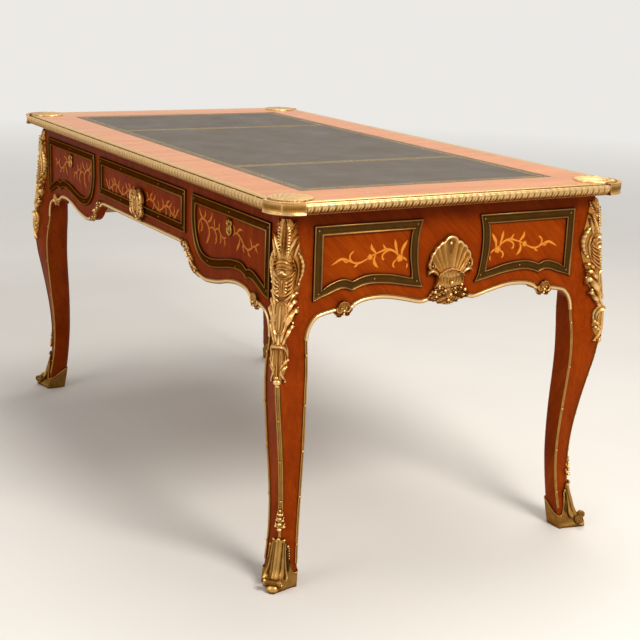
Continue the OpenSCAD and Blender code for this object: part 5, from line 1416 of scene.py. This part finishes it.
def cap_plate():
    """A cap's top: rings drawn in towards a centre from an edge that laps over the veneer. Inside a
    wavy step it is fluted, by a cosine of the angle round the corner."""
    half = np.array([[CAP_REACH, 0], [1.07 * CAP_REACH, 0.2 * CAP_REACH], [88, 27], [98, 42],
                     [102, 63], [94, 84]])
    outline = even(cap_side(0.0)[::-1], CAP_POINTS)
    edge = np.concatenate([even(np.concatenate([half, half[::-1, ::-1]]), 141), outline[1:-1]])
    centre = 37.0
    share = np.array([1, 1, 0.985, 0.965, 0.94, 0.91, 0.87, 0.82, 0.77, 0.72, 0.67, 0.62, 0.57,
                      0.52, 0.47, 0.42, 0.36, 0.3, 0.22, 0.14, 0.05])[:, None]
    p = centre + (edge - centre)[None] * share[..., None]
    reach = np.linalg.norm(p[:, :, None] - outline[None, None], axis=-1).min(-1)
    way = np.arctan2(p[..., 1], p[..., 0])
    lip = np.exp(-((share - 0.955) / 0.022) ** 2)
    flutes = np.cos(2 * math.pi * way / 0.105)
    leafy = np.clip((reach - 14.5 - 1.5 * flutes) / 1.6, 0, 1)
    # painted shadow: groove cuts nothing into the plate; it only darkens a wavy line along the step,
    # as the shadow under its raised edge
    groove = np.exp(-((reach - 11.5 - 1.5 * flutes) / 1.8) ** 2) * (way > 0.12) * (way < 1.45)
    step = np.clip((reach - 10.5 - 1.5 * flutes) / 2.0, 0, 1)
    h = 0.7 + 0.7 * lip + 2.0 * step + leafy * (0.3 + 0.6 * flutes) * (share < 0.95)
    h = np.where(share == 1, 0, h)
    h[1] = 0.9
    # the groove term paints the shadow line along the step
    relief = np.clip(0.8 + 0.3 * lip + 0.2 * flutes * leafy - 2.2 * groove, 0, 1)
    return np.dstack([p, h]), relief


def make_caps():
    caps = Casting()
    for signs in FROM_RIGHT:
        for rings, relief in (cap_wall(), cap_plate()):
            at_corner = np.array([RIM_X, RIM_Y, DESK_H]) - rings * [1, 1, -1]
            caps.add(MM * signs * at_corner, relief)
    caps.cast("shell_corner_caps", gilt, "desk", "gilt_bronze", "corner_caps", sharp=60)


make_caps()


# Marquetry: flat shapes of fruitwood, drawn as ribbons that swell and taper

SINK = 0.2
BUD_H = 0.54
FLAT = [[-1, 0, 0], [-1, 1, 0.1], [-0.66, 1, 0.7], [0, 1, 1], [0.66, 1, 0.7], [1, 1, 0.1],
        [1, 0, 0]]
END_SPRAY = [
    ([[271, 647], [262, 652], [252, 657], [243, 657], [233, 653], [221, 648], [210, 647],
      [198, 651], [186, 657]], [0.6, 2.2, 3, 2.6, 2, 2.4, 2.4, 1.8, 1.8]),
    ([[183, 659], [172, 663], [163, 666], [152, 669], [140, 668], [129, 663], [121, 655]],
     [2, 1.8, 2, 3, 2.8, 2.2, 2]),
    ([[222, 648], [230, 655], [231, 663], [226, 669], [222, 671]], [1.6, 2, 2.2, 2, 0.6]),
    ([[212, 647], [217, 642], [222, 640]], [1.6, 2.6, 0.6]),
    ([[246, 655], [240, 651], [234, 651]], [1.2, 2, 0.6]),
    ([[172, 663], [178, 669], [183, 675], [184, 683]], [1.2, 3.2, 3.6, 0.6]),
    ([[174, 660], [177, 651], [174, 642], [167, 635]], [1.4, 3, 4, 0.7]),
    ([[148, 668], [153, 673], [158, 680]], [1.2, 2.6, 0.6]),
    ([[143, 667], [152, 664], [158, 658], [157, 651], [153, 650]], [1.4, 2.2, 2.2, 2.4, 1]),
    ([[123, 660], [127, 670], [129, 679], [131, 688]], [1.4, 3, 3.4, 0.6]),
    ([[114, 656], [113, 666], [108, 675], [102, 684]], [2, 3.4, 3.8, 0.6]),
    ([[113, 652], [106, 648], [101, 643]], [1.6, 2.4, 0.6]),
    ([[101, 638], [100, 633], [102, 628]], [0.8, 2, 0.6]),
    ([[124, 648], [131, 643], [133, 636], [129, 632]], [1.4, 2.2, 2.2, 0.8])
]
END_BUDS = [(186, 657, 6.6), (118, 650, 8.4)]
SIDE_SPRAY = [
    ([[335, 644], [331, 655], [335, 668], [346, 677], [360, 678], [374, 673], [384, 662],
      [386, 650], [379, 638], [371, 629]], [1.4, 2.4, 2.4, 2.4, 2.6, 2.8, 3, 3.6, 4, 0.8]),
    ([[336, 699], [339, 690], [347, 683], [356, 679]], [0.8, 3, 3, 1.4]),
    ([[363, 697], [366, 690], [362, 684], [356, 679]], [0.8, 3.2, 2.6, 1.4]),
    ([[344, 672], [350, 664], [349, 655], [343, 650]], [1.4, 2.4, 2.6, 0.8]),
    ([[399, 698], [396, 688], [388, 680], [377, 676]], [0.8, 3.4, 2.8, 1.4]),
    ([[386, 664], [400, 668], [412, 664], [421, 655], [422, 645], [415, 636]],
     [1.4, 2, 2.4, 2.8, 3.4, 0.8]),
    ([[412, 664], [424, 670], [434, 668], [444, 660], [456, 656], [468, 660]],
     [1.4, 2, 2.2, 2.4, 2.2, 1.6]),
    ([[437, 684], [434, 677], [435, 668]], [0.8, 3.2, 1.4]),
    ([[412, 688], [410, 678], [414, 667]], [0.8, 3, 1.4]),
    ([[440, 660], [443, 650], [439, 641]], [1.4, 3, 0.8]),
    ([[458, 656], [463, 648], [462, 640]], [1.4, 3, 0.8]),
    ([[500, 670], [512, 677], [525, 676], [538, 669], [552, 659], [566, 654], [580, 658],
      [594, 666], [603, 664], [611, 655]], [1.4, 2, 2.6, 2.6, 2.2, 2.6, 2.4, 2.4, 3, 0.8]),
    ([[517, 677], [524, 684], [534, 688], [543, 687]], [1.4, 3, 3, 0.8]),
    ([[506, 674], [506, 684], [500, 692]], [1.2, 2.8, 0.8]),
    ([[532, 672], [530, 661], [523, 651], [517, 642]], [1.4, 2.8, 3.6, 0.8]),
    ([[548, 661], [548, 651], [553, 644]], [1.2, 2.8, 0.8]),
    ([[566, 655], [572, 646], [580, 642]], [1.4, 2.8, 0.8]),
    ([[584, 660], [583, 670], [577, 679]], [1.4, 3, 0.8]),
    ([[600, 665], [608, 672], [618, 674]], [1.2, 2.8, 0.8])
]
SIDE_BUDS = [(381, 641, 4.6), (421, 647, 4.2), (547, 657, 4.4), (604, 662, 4.4)]
MID_SPRAY = [
    ([[38, 664], [52, 670], [68, 672], [84, 667], [98, 659], [114, 656], [130, 661], [146, 670],
      [162, 673], [178, 667], [192, 659], [206, 658], [219, 663]],
     [1.6, 2.2, 2.6, 2.6, 2.4, 2.4, 2.6, 2.6, 2.6, 2.4, 2.2, 2.2, 0.8]),
    ([[60, 672], [66, 682], [76, 688]], [1.4, 3.4, 0.8]),
    ([[76, 670], [88, 678], [92, 688]], [1.4, 3.4, 0.8]),
    ([[50, 669], [46, 679], [38, 686]], [1.4, 3, 0.8]),
    ([[84, 667], [82, 657], [74, 649], [68, 649]], [1.4, 2.4, 2.8, 1]),
    ([[104, 657], [100, 647], [92, 642]], [1.4, 3.2, 0.8]),
    ([[118, 657], [124, 647], [134, 643]], [1.4, 3.4, 0.8]),
    ([[112, 657], [112, 668], [106, 677]], [1.4, 3, 0.8]),
    ([[136, 664], [138, 676], [132, 686]], [1.4, 3.4, 0.8]),
    ([[156, 673], [164, 682], [175, 686]], [1.4, 3.4, 0.8]),
    ([[150, 671], [156, 661], [154, 652], [147, 648]], [1.4, 2.4, 3, 1]),
    ([[170, 671], [180, 676], [188, 684]], [1.4, 3, 0.8]),
    ([[182, 665], [178, 654], [170, 646]], [1.4, 3.4, 0.8]),
    ([[198, 658], [204, 648], [214, 644]], [1.4, 3.2, 0.8]),
    ([[196, 659], [202, 669], [200, 679]], [1.4, 3, 0.8]),
    ([[210, 659], [220, 671], [228, 678]], [1.2, 3, 0.8])
]
MID_BUDS = [(68, 672, 5.4), (114, 656, 4.6), (162, 673, 5.0), (206, 657, 4.4)]


def bud(a, b, r):
    """A flat bud whose edge has five lobes, by a cosine of the angle."""
    w = np.arange(22) * 2 * math.pi / 22
    reach = r * (1 + 0.09 * np.cos(5 * w))
    rings = np.stack([
        np.stack([a + q * reach * np.cos(w), b + q * reach * np.sin(w), 0 * w + h], -1)
        for q, h in ((1, -SINK), (1, BUD_H), (0.7, BUD_H), (0.1, BUD_H))
    ])
    return rings, np.broadcast_to(np.array([0, 0.1, 0.7, 1.0])[:, None], rings.shape[:2])


def spray(name, body, finish, *jobs):
    """Marquetry from jobs of places, ribbons and buds. Each ribbon lies a hair over the last."""
    picture = Casting()
    for places, ribbons, buds in jobs:
        for k, (path, width) in enumerate(ribbons):
            picture.each(places, *stroke(path, width, SINK + 0.014 * k, FLAT, sink=SINK))
        for row in buds:
            picture.each(places, *bud(*row))
    picture.cast(name, finish, body, "veneer", sharp=30)


spray("end_marquetry", "desk", end_inlay, (both_ways(ENDS), END_SPRAY, END_BUDS))
spray("back_marquetry", "desk", long_inlay, (both_ways([on_back]), SIDE_SPRAY, SIDE_BUDS),
      (both_ways([on_back]), MID_SPRAY, MID_BUDS))
spray("right_drawer_marquetry", "drawer_right", long_inlay, ([on_front], SIDE_SPRAY, SIDE_BUDS))
spray("left_drawer_marquetry", "drawer_left", long_inlay,
      ([flipped(on_front)], SIDE_SPRAY, SIDE_BUDS))
spray("middle_drawer_marquetry", "drawer_center", long_inlay,
      (both_ways([on_front]), MID_SPRAY, MID_BUDS))

# Gold tooling on the leather

JOINT_X = 320.5
BORDER = 22.0
GOLD_H = 0.16


def tooling_line(cast, x0, y0, x1, y1, half):
    """A ruled line of gold leaf, a hair's breadth proud of the leather."""
    along = unit(np.array([x1 - x0, y1 - y0], float))
    across = half * np.array([-along[1], along[0]])
    ends = np.array([[x0, y0], [x1, y1]])
    rings = np.stack([
        np.concatenate([ends - across * s, np.full((2, 1), LEATHER_Z + h)], 1)
        for s, h in ((1, -SINK), (1, GOLD_H), (-1, GOLD_H), (-1, -SINK))
    ], 1)
    cast.add(MM * rings, 0.9)


STAMP = [
    (mirrored([[0, 1.9], [1.6, 1.5], [3.0, 0]]), [0.25, 0.45, 0.5, 0.45, 0.25]),
    ([[-2.2, -1.8], [-0.8, -0.9], [0, 0.6]], [0.2, 0.5, 0.2]),
    ([[2.2, -1.8], [0.8, -0.9], [0, 0.6]], [0.2, 0.5, 0.2])
]


def stamps(cast, x0, y0, x1, y1, pitch, size, flip=1):
    """A row of stamped leaves along a line: each one is the same few ribbons, set at even steps."""
    start, end = np.array([x0, y0], float), np.array([x1, y1], float)
    n = max(1, round(np.linalg.norm(end - start) / pitch))
    along = unit(end - start)
    across = flip * np.array([-along[1], along[0]])
    for path, width in STAMP:
        rings, shine = stroke(path, width, GOLD_H, [[-1, 0, 0], [-1, 1, 1], [1, 1, 1], [1, 0, 0]],
                              steps=2, sink=SINK)
        for k in range(n):
            centre = start + (end - start) * (k + 0.5) / n
            flat = centre + size * (rings[..., :1] * along + rings[..., 1:2] * across)
            p = np.concatenate([flat, LEATHER_Z + rings[..., 2:3]], -1)
            cast.add(MM * p, shine)


def make_tooling():
    gold = Casting()
    for inset, half in ((7, 0.45), (9, 0.25), (20, 0.25), (BORDER, 0.45)):
        x, y = LEATHER_X - inset, LEATHER_Y - inset
        for line in ((-x, -y, x, -y), (-x, y, x, y), (-x, -y, -x, y), (x, -y, x, y)):
            tooling_line(gold, *line, half)
    x, y = LEATHER_X - 14.5, LEATHER_Y - 14.5
    for line in ((-x, -y, x, -y), (x, y, -x, y), (x, -y, x, y), (-x, y, -x, -y)):
        stamps(gold, *line, 7.5, 1.0)
    y = LEATHER_Y - BORDER
    for joint in (-JOINT_X, JOINT_X):
        for d in (-11.6, -6.4, 6.4, 11.6):
            tooling_line(gold, joint + d, -y, joint + d, y, 0.3)
        for side in (-1, 1):
            stamps(gold, joint + 4 * side, -y, joint + 4 * side, y, 7.0, 0.95, side)
    gold.cast("gold_tooling", gold_leaf, "desk", "leather", sharp=30)


make_tooling()

# Room, light and camera

CAMERA_AT = (2.8382, -1.4947, 1.1843)
CAMERA_YAW, CAMERA_PITCH, CAMERA_ROLL = (math.radians(d) for d in (150.392, -14.783, 1.935))
CAMERA_LENS = 74.10


def make_camera():
    ahead = np.array([math.cos(CAMERA_PITCH) * math.cos(CAMERA_YAW),
                      math.cos(CAMERA_PITCH) * math.sin(CAMERA_YAW), math.sin(CAMERA_PITCH)])
    right = unit(np.cross(ahead, [0, 0, 1]))
    up = np.cross(right, ahead)
    c, s = math.cos(CAMERA_ROLL), math.sin(CAMERA_ROLL)
    axes = np.stack([c * right + s * up, c * up - s * right, -ahead])
    data = bpy.data.cameras.new("camera")
    data.lens, data.sensor_width = CAMERA_LENS, 36
    camera = bpy.data.objects.new("camera", data)
    matrix = np.eye(4)
    matrix[:3, :3], matrix[:3, 3] = axes.T, CAMERA_AT
    camera.matrix_world = Matrix(matrix.tolist())
    bpy.context.scene.collection.objects.link(camera)
    bpy.context.scene.camera = camera


def lamp(name, at, aim, size, watts, colour):
    """A round light of this size in metres and power, turned towards a point."""
    data = bpy.data.lights.new(name, "AREA")
    data.energy, data.color, data.shape, data.size = watts, colour, "DISK", size
    light = bpy.data.objects.new(name, data)
    bpy.context.scene.collection.objects.link(light)
    back = unit(np.subtract(at, aim))
    right = unit(np.cross([0, 0, 1], back))
    matrix = np.eye(4)
    matrix[:3, :3] = np.stack([right, np.cross(back, right), back], -1)
    matrix[:3, 3] = at
    light.matrix_world = Matrix(matrix.tolist())


PALE = (0.84, 0.82, 0.79)


def seen_rays(tree):
    """1 for rays from the camera and for those that metal or glass throws on, else 0."""
    path = tree.nodes.new("ShaderNodeLightPath")
    either = path.outputs["Is Camera Ray"]
    for ray in ("Is Glossy Ray", "Is Transmission Ray"):
        more = tree.nodes.new("ShaderNodeMath")
        more.operation = "MAXIMUM"
        tree.links.new(either, more.inputs[0])
        tree.links.new(path.outputs[ray], more.inputs[1])
        either = more.outputs[0]
    return either


def make_room():
    mesh = bpy.data.meshes.new("floor")
    mesh.from_pydata([(-40, -40, 0), (40, -40, 0), (40, 40, 0), (-40, 40, 0)], [], [(0, 1, 2, 3)])
    floor = bpy.data.objects.new("floor", mesh)
    bpy.context.scene.collection.objects.link(floor)
    pale = Finish("pale_floor", Roughness=0.8, Specular_IOR_Level=0.2)
    cloud = pale.noise(pale.place(), 1.5, 2, 0.5)
    pale.join(pale.ramp(cloud, (0.3, (0.74, 0.72, 0.69)), (0.7, (0.78, 0.76, 0.73))), "Base Color")
    # Far off, the floor is seen and mirrored as bright as the room, so no horizon shows
    far = pale.node("VectorMath", {0: pale.place()}, operation="LENGTH").outputs["Value"]
    fade = pale.level(far, 1.6, 7.5, 0.0, 1.0)
    glow = pale.node("Emission", {"Color": (*PALE, 1)})
    mixed = pale.node("MixShader", {0: pale.node("Math", {0: fade, 1: seen_rays(pale.tree)},
                                                 operation="MULTIPLY").outputs[0],
                                    1: pale.shader.outputs[0], 2: glow.outputs[0]})
    pale.tree.links.new(mixed.outputs[0], pale.tree.nodes["Material Output"].inputs["Surface"])
    mesh.materials.append(pale.material)
    world = bpy.data.worlds.new("room")
    bpy.context.scene.world = world
    world.use_nodes = True
    tree = world.node_tree
    sky = tree.nodes["Background"]
    sky.inputs["Color"].default_value = (*PALE, 1)
    either = seen_rays(tree)
    strength = tree.nodes.new("ShaderNodeMapRange")
    tree.links.new(either, strength.inputs["Value"])
    strength.inputs["To Min"].default_value = 0.5
    strength.inputs["To Max"].default_value = 1.0
    tree.links.new(strength.outputs[0], sky.inputs["Strength"])
    lamp("key", (3.3, 0.3, 2.9), (0.3, 0, 0.6), 1.4, 118, (1, 0.95, 0.88))
    lamp("fill", (0.6, -3.4, 2.2), (0, 0, 0.5), 2.4, 30, (1, 0.97, 0.93))
    lamp("above", (-0.6, 0.9, 3.6), (0, 0, 0.78), 2.6, 68, (1, 0.96, 0.90))


make_camera()
make_room()
bpy.context.scene.view_settings.view_transform = "Standard"
